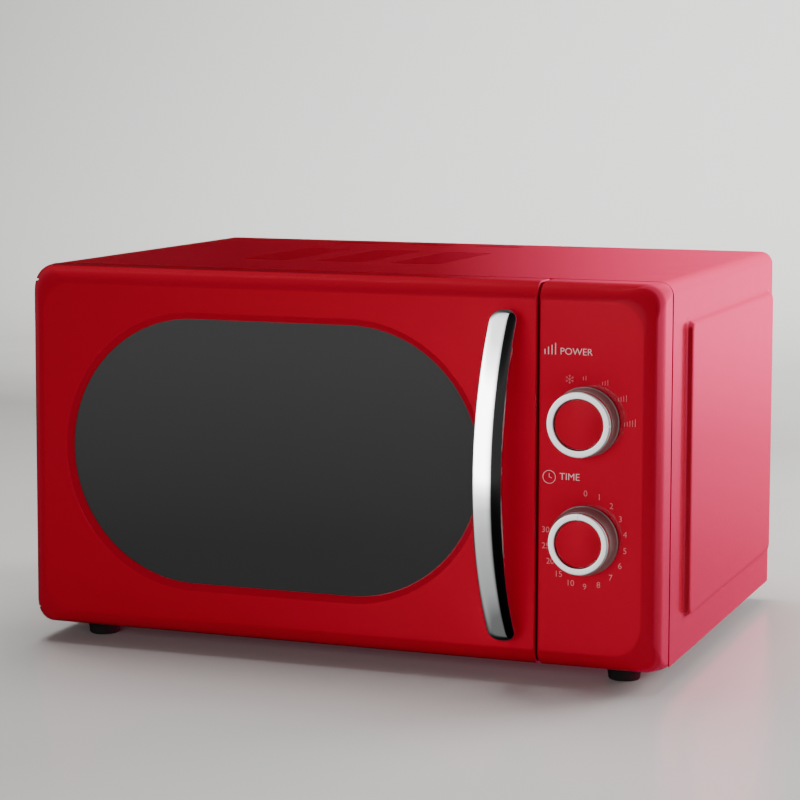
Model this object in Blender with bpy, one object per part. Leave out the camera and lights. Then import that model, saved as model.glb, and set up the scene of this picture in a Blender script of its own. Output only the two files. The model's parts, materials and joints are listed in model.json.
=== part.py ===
"""Countertop microwave oven with two turning dials, an oval door window and an arched bar handle.

Units are metres and +Z is up.  Everything hangs on one empty, "oven_frame".  In that frame x is zero
at the middle of the body, y is the depth behind the flat front of the door, and z is the height
above the surface that the feet stand on.  Moving pieces have their origin on their joint's axis.
"""
import math

import bmesh
import bpy
from mathutils import Matrix, Vector

# ---------------------------------------------------------------- driving dimensions
WIDTH = 0.440            # body and fascia, without the pressed side panels
BODY_DEPTH = 0.322       # flat front of the door to the rear edge of the case
HANDLE_REACH = 0.046     # how far the handle stands in front of the door
FOOT_HEIGHT = 0.013      # underside of the body above the floor
TOP = 0.258              # top of the body above the floor
SHEET = 0.001            # steel sheet
GAP = 0.0003             # between pieces that touch

FASCIA_DEPTH = 0.030     # door and control panel, front to seam
SEAM = 0.0015            # running gap behind the door and panel
EDGE_RADIUS = 0.012      # rounding of the fascia's front edge
FACE_CORNER = 0.020      # corners of the flat front
TOP_CORNER, LOW_CORNER = 0.008, 0.0025   # corners of the fascia where it meets the case
PANEL_GAP = 0.002        # between door and control panel
DOOR_RIGHT = 0.1403      # door edge beside the control panel
SKIN = 0.004             # front wall of the mouldings
WALL = 0.0025            # side walls of the mouldings

WINDOW_RADIUS = 0.0885
WINDOW_LEFT = -0.099     # centre of the window's left round end
WINDOW_RIGHT = 0.013     # centre of its right round end
WINDOW_HEIGHT = 0.137    # both centres above the floor
WINDOW_LIP = 0.0038      # width of the sloping edge round the glass
GLASS_RECESS = 0.003

HANDLE_X = 0.1215
HANDLE_LOW, HANDLE_HIGH = 0.0300, 0.2410
HANDLE_WIDTH, HANDLE_THICK = 0.0192, 0.0096
POST_INSET = 0.0085      # centre of each mounting post from the end of the handle

KNOB_X = 0.1725
POWER_Z, TIMER_Z = 0.1717, 0.0967
KNOB_RADIUS = 0.0222
KNOB_DEPTH = 0.018

PAD_RISE = 0.004         # pressed panels on the case sides
PAD_BACK, PAD_FRONT = 0.316, 0.060
PAD_LOW, PAD_HIGH = 0.033, 0.235
PAD_SLOPE = 0.009

CAVITY_LEFT, CAVITY_RIGHT = -0.203, 0.107
CAVITY_LOW, CAVITY_HIGH = 0.034, 0.234
CAVITY_BACK = 0.313

HINGE_X, HINGE_Y = -0.2125, 0.0095
LOW_LEAF, HIGH_LEAF = 0.0218, 0.2470     # undersides of the two hinge leaves
LEAF, LEAF_PLAY = 0.0016, 0.0004         # their thickness, and the room above and below them
LEAF_LEFT, LEAF_RIGHT = 0.0029, 0.0055   # how far they reach either side of the pin
TABLE_X, TABLE_Y = -0.048, 0.1735
TRAY_RADIUS = 0.127
ROLLER_RADIUS, ROLLER_TRACK = 0.007, 0.092
FAN_X, FAN_Z = 0.165, 0.190
FOOT_X = 0.187
FOOT_DEPTHS = (0.0435, 0.290)

HOOK_LEFT, HOOK_RIGHT = 0.1235, 0.1305
HOOK_HEIGHTS = (0.0700, 0.2000)
FINGER_HEIGHT = 0.1350
HOOK_TIP = 0.0485        # depth of the hooks' rear ends
CATCH_CLEARANCE = 0.0004
SWITCHES = (("primary", HOOK_HEIGHTS[1] + 0.0015), ("secondary", HOOK_HEIGHTS[0] + 0.0015),
            ("monitor", FINGER_HEIGHT + 0.0015))
SWITCH_FACE = 0.0525

VENT_GROUPS = (0.016, -0.039, -0.094)
VENT_WIDTH, VENT_SLOT, VENT_PITCH = 0.036, 0.0030, 0.0085
VENT_FRONT, VENT_COUNT = 0.114, 14
REAR_VENTS = (0.2920, 0.3005)
REAR_PANEL = 0.3165      # depth of its front face
GLAND_X, GLAND_Z = 0.168, 0.060

MAGNETRON_Y, MAGNETRON_Z = 0.158, 0.186
CORE_X, CORE_Y = 0.164, 0.158            # middle of the transformer

# worked out from the above
HALF = WIDTH / 2
FRONT_Y = -(BODY_DEPTH - HANDLE_REACH) / 2
FASCIA_BACK = FASCIA_DEPTH - SEAM
PANEL_LEFT = DOOR_RIGHT + PANEL_GAP
HANDLE_POSTS = (("low", HANDLE_LOW + POST_INSET), ("high", HANDLE_HIGH - POST_INSET))
ROLLER_Z = CAVITY_LOW + GAP + ROLLER_RADIUS
TRAY_LOW = ROLLER_Z + ROLLER_RADIUS + GAP

for old in list(bpy.data.objects):
    bpy.data.objects.remove(old, do_unlink=True)

frame = bpy.data.objects.new("oven_frame", None)
frame.location = (0, FRONT_Y, 0)
bpy.context.scene.collection.objects.link(frame)


# ---------------------------------------------------------------- materials
def material(name, colour, roughness, metallic=0.0):
    made = bpy.data.materials.new(name)
    made.use_nodes = True
    shader = made.node_tree.nodes["Principled BSDF"]
    shader.inputs["Base Color"].default_value = (*colour, 1)
    shader.inputs["Roughness"].default_value = roughness
    shader.inputs["Metallic"].default_value = metallic
    return made


RED = material("red_gloss_plastic", (0.42, 0.008, 0.014), 0.2)
RED_STEEL = material("red_enamelled_steel", (0.42, 0.008, 0.014), 0.25, 0.1)
CHROME = material("chrome", (0.85, 0.85, 0.86), 0.08, 1.0)
STEEL = material("zinc_steel", (0.55, 0.56, 0.57), 0.4, 1.0)
ENAMEL = material("cavity_enamel", (0.55, 0.55, 0.53), 0.35)
SMOKED = material("smoked_glass", (0.02, 0.02, 0.02), 0.08)
CLEAR = material("clear_glass", (0.8, 0.85, 0.83), 0.05)
BLACK = material("black_plastic", (0.02, 0.02, 0.022), 0.5)
WHITE = material("white_nylon", (0.8, 0.8, 0.77), 0.5)
RUBBER = material("foot_rubber", (0.015, 0.015, 0.015), 0.8)
COPPER = material("enamelled_copper", (0.6, 0.25, 0.1), 0.4, 1.0)
CORE = material("core_laminations", (0.2, 0.2, 0.21), 0.5, 1.0)
MICA = material("mica_sheet", (0.62, 0.58, 0.5), 0.6)
BRASS = material("bell_brass", (0.7, 0.5, 0.2), 0.3, 1.0)
BOARD = material("filter_board_laminate", (0.1, 0.25, 0.1), 0.6)


# ---------------------------------------------------------------- mesh helpers
def add_object(name, mesh, origin=(0, 0, 0)):
    mesh.transform(Matrix.Translation(-Vector(origin)))
    made = bpy.data.objects.new(name, mesh)
    made.location = origin
    made.parent = frame
    bpy.context.scene.collection.objects.link(made)
    return made


def finish(work, name, origin=(0, 0, 0)):
    bmesh.ops.recalc_face_normals(work, faces=work.faces)
    mesh = bpy.data.meshes.new(name)
    work.to_mesh(mesh)
    work.free()
    return add_object(name, mesh, origin)


def dress(obj, finish_material, smooth=False):
    obj.data.materials.clear()
    obj.data.materials.append(finish_material)
    if smooth:
        obj.data.shade_smooth()
        obj.data.set_sharp_from_angle(angle=math.radians(35))
    return obj


def loft(name, rings, origin=(0, 0, 0), closed=False):
    """Skin equal rings of points in order, with flat ends, or joined end to start if closed."""
    work = bmesh.new()
    rows = [[work.verts.new(point) for point in ring] for ring in rings]
    pairs = list(zip(rows, rows[1:]))
    if closed:
        pairs.append((rows[-1], rows[0]))
    else:
        work.faces.new(rows[0])
        work.faces.new(rows[-1])
    for low, high in pairs:
        for k in range(len(low)):
            j = (k + 1) % len(low)
            work.faces.new((low[k], low[j], high[j], high[k]))
    return finish(work, name, origin)


def boxes(name, corners, origin=(0, 0, 0)):
    """One mesh of separate boxes, each given by its lowest and highest corner."""
    work = bmesh.new()
    for low, high in corners:
        cube = bmesh.ops.create_cube(work, size=1)
        size = Vector(high) - Vector(low)
        middle = (Vector(high) + Vector(low)) / 2
        bmesh.ops.transform(work, verts=cube["verts"],
                            matrix=Matrix.Translation(middle) @ Matrix.Diagonal((*size, 1)))
    return finish(work, name, origin)


def axis_frame(axis):
    """Two directions across an axis, so that a circle turned in them faces along it."""
    along = Vector(axis).normalized()
    side = Vector((0, 0, 1)) if abs(along.z) < 0.9 else Vector((1, 0, 0))
    first = side.cross(along).normalized()
    return along, first, along.cross(first)


def turned(name, profile, centre, axis, steps=32, origin=None):
    """Turn (radius, distance along the axis) pairs; a first or last radius of zero closes at a point,
    and a profile that starts and ends off the axis makes a ring."""
    along, first, second = axis_frame(axis)
    centre = Vector(centre)
    work = bmesh.new()
    rows = []
    for radius, distance in profile:
        if radius == 0:
            rows.append([work.verts.new(centre + along * distance)])
            continue
        row = []
        for k in range(steps):
            turn = 2 * math.pi * k / steps
            out = first * math.cos(turn) + second * math.sin(turn)
            row.append(work.verts.new(centre + along * distance + out * radius))
        rows.append(row)
    pairs = list(zip(rows, rows[1:]))
    if len(rows[0]) > 1:
        pairs.append((rows[-1], rows[0]))
    for low, high in pairs:
        for k in range(steps):
            j = (k + 1) % steps
            if len(low) == 1:
                work.faces.new((low[0], high[j], high[k]))
            elif len(high) == 1:
                work.faces.new((low[k], low[j], high[0]))
            else:
                work.faces.new((low[k], low[j], high[j], high[k]))
    return finish(work, name, centre if origin is None else origin)


def rod(name, centre, axis, radius, start, end, steps=24, origin=None):
    return turned(name, [(0, start), (radius, start), (radius, end), (0, end)], centre, axis, steps, origin)


def rounded_rectangle(left, right, low, high, radius, steps=4, low_radius=None):
    """Points (x, z) round a rectangle with rounded corners."""
    base = radius if low_radius is None else low_radius
    points = []
    corners = ((right - radius, high - radius, radius, 0), (left + radius, high - radius, radius, 90),
               (left + base, low + base, base, 180), (right - base, low + base, base, 270))
    for x, z, size, start in corners:
        for k in range(steps + 1):
            turn = math.radians(start + 90 * k / steps)
            points.append((x + size * math.cos(turn), z + size * math.sin(turn)))
    return points


def stadium(left, right, height, radius, steps=20):
    """Points (x, z) round two half circles joined by straight runs."""
    points = []
    for x, start in ((right, -90), (left, 90)):
        for k in range(steps + 1):
            turn = math.radians(start + 180 * k / steps)
            points.append((x + radius * math.cos(turn), height + radius * math.sin(turn)))
    return points


def window_outline(grow):
    return stadium(WINDOW_LEFT, WINDOW_RIGHT, WINDOW_HEIGHT, WINDOW_RADIUS + grow)


def plate(name, outline, front, back, origin=(0, 0, 0)):
    """An (x, z) outline made solid between two depths."""
    return loft(name, [[(x, y, z) for x, z in outline] for y in (front, back)], origin)


def bench(name, outline, low, high, origin=(0, 0, 0)):
    """An (x, y) outline made solid between two heights."""
    return loft(name, [[(x, y, z) for x, y in outline] for z in (low, high)], origin)


def tool(obj):
    obj.hide_render = True
    obj.display_type = "WIRE"
    return obj


def boolean(obj, operation, pieces):
    for piece in pieces:
        step = obj.modifiers.new(operation.lower() + "_" + piece.name, "BOOLEAN")
        step.operation = operation
        step.object = tool(piece)
    return obj


def cut(obj, *pieces):
    return boolean(obj, "DIFFERENCE", pieces)


def join(obj, *pieces):
    return boolean(obj, "UNION", pieces)


# ---------------------------------------------------------------- fascia: door frame and control panel
def edge_inset(depth, radius=EDGE_RADIUS):
    """How far a fascia edge of the given radius has rounded in at a depth."""
    if depth >= EDGE_RADIUS:
        return EDGE_RADIUS - radius
    return EDGE_RADIUS - math.sqrt(max(radius ** 2 - (EDGE_RADIUS - depth) ** 2, 0))


def corner_radius(depth, rear):
    """Large corners at the flat front that tighten to the case's own corners at the seam."""
    return rear + (FACE_CORNER - rear) * max(1 - depth / FASCIA_BACK, 0) ** 1.6


def fascia_rings(left, right, depths, radius=EDGE_RADIUS, round_left=True, round_right=True):
    rings = []
    for depth in depths:
        inset = edge_inset(depth, radius)
        thicker = EDGE_RADIUS - radius
        outline = rounded_rectangle(left + (inset if round_left else 0),
                                    right - (inset if round_right else 0),
                                    FOOT_HEIGHT + inset, TOP - inset,
                                    corner_radius(depth, TOP_CORNER) + thicker,
                                    low_radius=corner_radius(depth, LOW_CORNER) + thicker)
        rings.append([(x, depth, z) for x, z in outline])
    return rings


OUTER_DEPTHS = [EDGE_RADIUS * (1 - math.cos(math.radians(a))) for a in (0, 22, 45, 67, 90)]
OUTER_DEPTHS += [0.020, FASCIA_BACK]
INNER_DEPTHS = [SKIN, 0.006, 0.009, EDGE_RADIUS, 0.020, FASCIA_DEPTH + 0.01]
INNER_RADIUS = EDGE_RADIUS - WALL


def build_door_frame():
    door = loft("door_frame", fascia_rings(-HALF, HALF, OUTER_DEPTHS), (HINGE_X, HINGE_Y, 0))
    right_half = boxes("door_trim", [((DOOR_RIGHT, -0.01, -0.01), (0.3, 0.05, 0.3))])
    pocket = loft("door_pocket", fascia_rings(-HALF, DOOR_RIGHT - WALL, INNER_DEPTHS, INNER_RADIUS,
                                              round_right=False))
    window = loft("door_window", [[(x, y, z) for x, z in window_outline(grow)]
                                  for y, grow in ((-0.001, WINDOW_LIP * 4 / 3), (GLASS_RECESS, 0.0),
                                                  (0.01, 0.0))])
    rebate = plate("door_rebate", window_outline(0.0055), GLASS_RECESS, 0.01)
    bosses = boxes("hinge_bosses", [((-0.2165, 0.0058, 0.0245), (-0.2035, 0.022, 0.038)),
                                    ((-0.2165, 0.0058, 0.234), (-0.2035, 0.022, 0.2458))])
    bores = [rod("hinge_bore_" + name, (HINGE_X, HINGE_Y, 0), (0, 0, 1), 0.0029, low, high)
             for name, low, high in (("low", 0.0210, 0.0365), ("high", 0.2355, 0.2490))]
    slots = boxes("hinge_slots", [((-0.230, 0.0050, z - LEAF_PLAY),
                                   (HINGE_X + 0.0070, 0.04, z + LEAF + LEAF_PLAY))
                                  for z in (LOW_LEAF, HIGH_LEAF)])
    screws = [rod("handle_bore_" + name, (HANDLE_X, 0, z), (0, 1, 0), 0.0023, -0.012, 0.012, 20)
              for name, z in HANDLE_POSTS]
    chamfer = loft("hinge_chamfer", [[(-HALF - 0.001, FASCIA_BACK - 0.003, z), (-HALF - 0.001, 0.04, z),
                                      (-HALF + 0.002 + 0.0095, 0.04, z)] for z in (-0.01, 0.3)])
    cut(door, right_half, pocket)
    join(door, bosses)
    return dress(cut(door, window, rebate, slots, *bores, *screws, chamfer), RED, True)


def build_control_panel():
    panel = loft("control_panel", fascia_rings(-HALF, HALF, OUTER_DEPTHS))
    left_half = boxes("panel_trim", [((-0.3, -0.01, -0.01), (PANEL_LEFT, 0.05, 0.3))])
    pocket = loft("panel_pocket", fascia_rings(PANEL_LEFT + WALL, HALF, INNER_DEPTHS, INNER_RADIUS,
                                               round_left=False))
    holes = [rod("shaft_hole_" + name, (KNOB_X, 0, z), (0, 1, 0), 0.0042, -0.01, 0.01)
             for name, z in (("power", POWER_Z), ("timer", TIMER_Z))]
    return dress(cut(panel, left_half, pocket, *holes), RED, True)


def build_door_glass():
    return dress(plate("door_glass", window_outline(0.005), GLASS_RECESS + GAP, GLASS_RECESS + 0.0033,
                       (HINGE_X, HINGE_Y, 0)), SMOKED)


def build_door_screen():
    """The steel pan behind the glass that keeps the microwaves in."""
    pan = loft("door_screen", [[(x, y, z) for x, z in rounded_rectangle(-0.205, 0.116, 0.034, 0.236, 0.012)]
                               for y in (0.0120, 0.0250)], (HINGE_X, HINGE_Y, 0))
    flange = plate("screen_flange", rounded_rectangle(-0.2165, 0.1185, 0.0285, 0.2415, 0.004), 0.0240,
                   0.0250)
    hollow = plate("screen_hollow", rounded_rectangle(-0.204, 0.115, 0.035, 0.235, 0.011), 0.0130, 0.04)
    return dress(cut(join(pan, flange), hollow), STEEL)


def build_inner_window():
    outline = rounded_rectangle(-0.2030, 0.1140, 0.0360, 0.2340, 0.010)
    return dress(plate("inner_window", outline, 0.0222, 0.0240, (HINGE_X, HINGE_Y, 0)), CLEAR)


def build_choke_cover():
    cover = plate("choke_cover", rounded_rectangle(-0.2168, 0.1372, 0.0162, 0.2548, 0.0115), 0.0260, 0.0283,
                  (HINGE_X, HINGE_Y, 0))
    opening = plate("choke_opening", rounded_rectangle(-0.188, 0.099, 0.048, 0.222, 0.014), 0.01, 0.04)
    corners = boxes("choke_corners", [((-0.23, 0.01, HIGH_LEAF - 0.002), (-0.2045, 0.04, 0.3)),
                                      ((-0.23, 0.01, 0.0), (-0.2045, 0.04, LOW_LEAF + LEAF + 0.002))])
    hooks = boxes("choke_hook_slots", [((HOOK_LEFT - 0.001, 0.01, z - 0.0055),
                                        (HOOK_RIGHT + 0.001, 0.04, z + 0.0135))
                                       for z in HOOK_HEIGHTS + (FINGER_HEIGHT,)])
    return dress(cut(cover, opening, corners, hooks), BLACK)


# ---------------------------------------------------------------- handle
def build_handle():
    """A bar of flattened oval section on one arc, with round ends that land on the door."""
    half_chord = (HANDLE_HIGH - HANDLE_LOW) / 2 - 0.001
    foot, crown = -HANDLE_THICK / 2 - 0.0012, -HANDLE_REACH + HANDLE_THICK / 2
    rise = foot - crown
    radius = (half_chord ** 2 + rise ** 2) / (2 * rise)
    middle = (HANDLE_LOW + HANDLE_HIGH) / 2
    limit = math.asin(half_chord / radius)
    stations, sides = 18, 16
    tip = 0.010
    rings = []
    for k in range(stations + 1):
        turn = -limit * math.cos(math.pi * k / stations)
        to_end = radius * (limit - abs(turn)) + 0.0004
        size = math.sqrt(max(1 - (1 - min(to_end / tip, 1)) ** 2, 0))
        spine = Vector((HANDLE_X, crown + radius * (1 - math.cos(turn)), middle + radius * math.sin(turn)))
        outward = Vector((0, -math.cos(turn), math.sin(turn)))
        ring = []
        for s in range(sides):
            around = 2 * math.pi * (s + 0.5) / sides
            across, rise_here = [math.copysign(abs(share) ** 0.75, share) * size / 2
                                 for share in (math.cos(around), math.sin(around))]
            ring.append(spine + Vector((HANDLE_WIDTH * across, 0, 0)) + outward * HANDLE_THICK * rise_here)
        rings.append(ring)
    handle = loft("handle", rings, (HINGE_X, HINGE_Y, 0))
    posts = [plate("handle_post_" + name, rounded_rectangle(HANDLE_X - 0.0056, HANDLE_X + 0.0056,
                                                            z - 0.0056, z + 0.0056, 0.0054), -0.0110, -GAP)
             for name, z in HANDLE_POSTS]
    holes = [rod("handle_hole_" + name, (HANDLE_X, 0, z), (0, 1, 0), 0.0022, -0.0090, 0.01, 16)
             for name, z in HANDLE_POSTS]
    return dress(cut(join(handle, *posts), *holes), CHROME, True)


def build_handle_screws():
    for name, z in HANDLE_POSTS:
        profile = [(0, -0.0075), (0.0018, -0.0075), (0.0018, SKIN + GAP), (0.0042, SKIN + GAP),
                   (0.0036, SKIN + 0.0026), (0, SKIN + 0.0026)]
        dress(turned("handle_screw_" + name, profile, (HANDLE_X, 0, z), (0, 1, 0), 16,
                     (HINGE_X, HINGE_Y, 0)),
              STEEL, True)


# ---------------------------------------------------------------- hinges
def build_hinge(name, leaf_low, pin_low, pin_high, flange_low, flange_high):
    """A steel leaf through a slot in the front plate, with a pin that the door turns on."""
    nose = HINGE_Y - 0.0032
    plan = [(HINGE_X - LEAF_LEFT, nose + 0.0010), (HINGE_X - LEAF_LEFT + 0.0010, nose),
            (HINGE_X + LEAF_RIGHT - 0.0020, nose), (HINGE_X + LEAF_RIGHT, nose + 0.0020),
            (HINGE_X + LEAF_RIGHT, 0.0345), (HINGE_X - LEAF_LEFT, 0.0345)]
    bracket = bench(name, plan, leaf_low, leaf_low + LEAF)
    pin = rod(name + "_pin", (HINGE_X, HINGE_Y, 0), (0, 0, 1), 0.0025, pin_low, pin_high, 20)
    flange = boxes(name + "_flange", [((HINGE_X - 0.0055, 0.0313, flange_low),
                                       (-0.2065, 0.0345, flange_high))])
    return dress(join(bracket, pin, flange), STEEL, True)


# ---------------------------------------------------------------- latch
def build_latch_hooks():
    """A bar inside the door with two hooks and a finger, which slides up when pulled past the catch."""
    bar = boxes("latch_hooks", [((HOOK_LEFT - 0.002, 0.0140, 0.056), (HOOK_RIGHT + 0.002, 0.0195, 0.214))])
    arms = boxes("latch_arms", [((HOOK_LEFT, 0.018, z - 0.003), (HOOK_RIGHT, HOOK_TIP, z + 0.006))
                                for z in HOOK_HEIGHTS + (FINGER_HEIGHT,)])
    barbs = loft("latch_barb_low", [[(x, 0.0445, HOOK_HEIGHTS[0] - 0.002),
                                     (x, HOOK_TIP, HOOK_HEIGHTS[0] - 0.002),
                                     (x, 0.0462, HOOK_HEIGHTS[0] - 0.0048),
                                     (x, 0.0445, HOOK_HEIGHTS[0] - 0.0048)]
                                    for x in (HOOK_LEFT, HOOK_RIGHT)])
    upper = loft("latch_barb_high", [[(x, 0.0445, HOOK_HEIGHTS[1] - 0.002),
                                      (x, HOOK_TIP, HOOK_HEIGHTS[1] - 0.002),
                                      (x, 0.0462, HOOK_HEIGHTS[1] - 0.0048),
                                      (x, 0.0445, HOOK_HEIGHTS[1] - 0.0048)]
                                     for x in (HOOK_LEFT, HOOK_RIGHT)])
    return dress(join(bar, arms, barbs, upper), WHITE)


def build_latch_board():
    """The moulding behind the front plate with the two catches and the seats of the door switches."""
    board = boxes("latch_board", [((0.1392, 0.0316, 0.046), (0.1422, 0.0700, 0.226))])
    shelves = boxes("latch_catches", [((0.1195, 0.0335, z - 0.0110),
                                       (0.1395, 0.0430, z - 0.0048 - CATCH_CLEARANCE))
                                      for z in HOOK_HEIGHTS])
    return dress(join(board, shelves), WHITE)


def build_switches():
    x = (HOOK_LEFT + HOOK_RIGHT) / 2
    for name, z in SWITCHES:
        body = boxes(name + "_switch", [((x - 0.0052, SWITCH_FACE, z - 0.0140),
                                         (x + 0.0052, SWITCH_FACE + 0.016,
                                                                                z + 0.0140))])
        tabs = boxes(name + "_tabs", [((x - 0.0004 + k * 0.003, SWITCH_FACE + 0.015, z + j * 0.008 - 0.002),
                                       (x + 0.0004 + k * 0.003, SWITCH_FACE + 0.022, z + j * 0.008 + 0.002))
                                      for k, j in ((0, -1), (0, 0), (0, 1))])
        bore = rod(name + "_bore", (x, 0, z), (0, 1, 0), 0.0021, SWITCH_FACE - 0.01, SWITCH_FACE + 0.005,
                   12)
        dress(cut(join(body, tabs), bore), BLACK)
        profile = [(0, 0.0489), (0.0012, 0.0489), (0.0017, 0.0495), (0.0017, 0.0560), (0, 0.0560)]
        plunger = turned(name + "_plunger", profile, (x, 0, z), (0, 1, 0), 12)
        dress(plunger, WHITE, True)


# ---------------------------------------------------------------- case
def case_outline(inset):
    """The inverted U of the wrap, from its right foot over the top to its left foot."""
    radius = 0.009 - inset
    half, high = HALF - inset, TOP - inset
    points = [(half, FOOT_HEIGHT)]
    for x, start in ((half - radius, 0), (-half + radius, 90)):
        for k in range(6):
            turn = math.radians(start + 18 * k)
            points.append((x + radius * math.cos(turn), high - radius + radius * math.sin(turn)))
    return points + [(-half, FOOT_HEIGHT)]


def side_pad(name, side, shrink, inner, outer):
    """A truncated pyramid with rounded corners that stands out from one case side."""
    rings = []
    for x, step in ((inner, 0.0), (outer, PAD_SLOPE)):
        inset = shrink + step
        outline = rounded_rectangle(PAD_FRONT + inset, PAD_BACK - inset, PAD_LOW + inset, PAD_HIGH - inset,
                                    0.012 - step / 3)
        rings.append([(side * x, y, z) for y, z in outline])
    return loft(name, rings)


def build_outer_case():
    ends = [[(x, y, z) for x, z in case_outline(0) + case_outline(SHEET)[::-1]]
            for y in (FASCIA_DEPTH, BODY_DEPTH)]
    case = loft("outer_case", ends)
    for side, name in ((-1, "left"), (1, "right")):
        join(case, side_pad("pad_" + name, side, 0, HALF - 0.0004, HALF + PAD_RISE))
        cut(case, side_pad("pad_hollow_" + name, side, 0.0009, HALF - 0.0016, HALF + PAD_RISE - SHEET))
    depths = [VENT_FRONT + k * VENT_PITCH for k in range(VENT_COUNT)] + list(REAR_VENTS)
    slots = boxes("top_vents", [((x - VENT_WIDTH / 2, y, TOP - 0.01),
                                 (x + VENT_WIDTH / 2, y + VENT_SLOT, TOP + 0.01))
                                for x in VENT_GROUPS for y in depths])
    return dress(cut(case, slots), RED_STEEL, True)


def build_base_plate():
    z = FOOT_HEIGHT + GAP
    base = bench("base_plate", rounded_rectangle(-0.2185, 0.2185, 0.0316, 0.3155, 0.003, 1), z, z + SHEET)
    slots = boxes("base_vents", [((0.124 + k * 0.012, 0.205, 0.0), (0.130 + k * 0.012, 0.225, 0.03))
                                 for k in range(6)])
    return dress(cut(base, slots), STEEL)


def build_rear_panel():
    panel = plate("rear_panel", rounded_rectangle(-0.2185, 0.2185, 0.0147, 0.2565, 0.008, 3), REAR_PANEL,
                  REAR_PANEL + SHEET)
    intake = boxes("intake_slots", [((FAN_X - 0.037 + k * 0.027, 0.30, FAN_Z - 0.036 + j * 0.0090),
                                     (FAN_X - 0.017 + k * 0.027, 0.33, FAN_Z - 0.032 + j * 0.0090))
                                    for k in range(3) for j in range(9)])
    outlet = boxes("outlet_slots", [((-0.190 + k * 0.012, 0.30, 0.190), (-0.186 + k * 0.012, 0.33, 0.225))
                                    for k in range(10)])
    hole = rod("gland_hole", (GLAND_X, 0, GLAND_Z), (0, 1, 0), 0.0083, 0.30, 0.33)
    return dress(cut(panel, intake, outlet, hole), STEEL)


def build_cord_gland():
    """The bush in the rear panel where a mains lead would enter; the lead itself is not part of this."""
    y = REAR_PANEL
    profile = [(0.0042, y - 0.006), (0.0080, y - 0.006), (0.0080, y + SHEET + GAP),
               (0.0105, y + SHEET + GAP),
               (0.0098, y + 0.0045), (0.0050, y + 0.0050), (0.0042, y + 0.0040)]
    return dress(turned("cord_gland", profile, (GLAND_X, 0, GLAND_Z), (0, 1, 0), 24), BLACK, True)


def build_feet():
    for front, depth in zip(("front", "rear"), FOOT_DEPTHS):
        for side, x in (("left", -FOOT_X), ("right", FOOT_X)):
            profile = [(0, 0), (0.0103, 0), (0.0113, 0.0010), (0.0126, 0.0100), (0.0126, FOOT_HEIGHT),
                       (0, FOOT_HEIGHT)]
            dress(turned("foot_%s_%s" % (front, side), profile, (x, depth, 0), (0, 0, 1), 24), RUBBER, True)


# ---------------------------------------------------------------- cavity
def build_cavity():
    """The cooking chamber welded to the front plate that the door closes on."""
    depth = 0.0312
    outer = boxes("cavity", [((CAVITY_LEFT - SHEET, 0.0305, CAVITY_LOW - SHEET),
                              (CAVITY_RIGHT + SHEET, CAVITY_BACK + SHEET, CAVITY_HIGH + SHEET))])
    face = plate("front_plate", rounded_rectangle(-0.2185, 0.2185, 0.0147, 0.2565, 0.0075), FASCIA_DEPTH,
                 depth)
    inner = boxes("cavity_room", [((CAVITY_LEFT, 0.02, CAVITY_LOW),
                                   (CAVITY_RIGHT, CAVITY_BACK, CAVITY_HIGH))])
    bay = boxes("bay_mouth", [((0.1465, 0.02, 0.022), (0.2110, 0.04, 0.248))])
    hooks = boxes("hook_slots", [((HOOK_LEFT - 0.0012, 0.02, z - 0.0062),
                                  (HOOK_RIGHT + 0.0040, 0.04, z + 0.0135))
                                 for z in HOOK_HEIGHTS + (FINGER_HEIGHT,)])
    leaves = boxes("leaf_slots", [((HINGE_X - LEAF_LEFT - GAP, 0.02, z - GAP),
                                   (HINGE_X + LEAF_RIGHT + GAP, 0.04,
                                    z + LEAF + GAP)) for z in (LOW_LEAF, HIGH_LEAF)])
    guide = boxes("waveguide_window", [((0.10, 0.124, 0.136), (0.12, 0.194, 0.214))])
    lamp = boxes("lamp_holes", [((0.10, 0.078 + k * 0.006, 0.176 + j * 0.006), (0.12, 0.081 + k * 0.006,
                                                                            0.179 + j * 0.006))
                                for k in range(4) for j in range(4)])
    steam = boxes("steam_holes", [((-0.22, 0.240 + k * 0.008, 0.190 + j * 0.008), (-0.19, 0.244 + k * 0.008,
                                                                               0.194 + j * 0.008))
                                  for k in range(5) for j in range(3)])
    shaft = rod("shaft_hole", (TABLE_X, TABLE_Y, 0), (0, 0, 1), 0.006, 0.02, 0.05)
    return dress(cut(join(outer, face), inner, bay, hooks, leaves, guide, lamp, steam, shaft), ENAMEL)


def build_waveguide():
    duct = boxes("waveguide", [((0.1083, 0.118, 0.128), (0.1330, 0.200, 0.222))])
    hollow = boxes("waveguide_hollow", [((0.10, 0.119, 0.129), (0.1320, 0.199, 0.221))])
    port = rod("antenna_port", (0, MAGNETRON_Y, MAGNETRON_Z), (1, 0, 0), 0.0105, 0.125, 0.14, 20)
    return dress(cut(duct, hollow, port), STEEL)


def build_waveguide_cover():
    return dress(boxes("waveguide_cover", [((0.1057, 0.119, 0.131), (0.1067, 0.199, 0.219))]), MICA)


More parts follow.
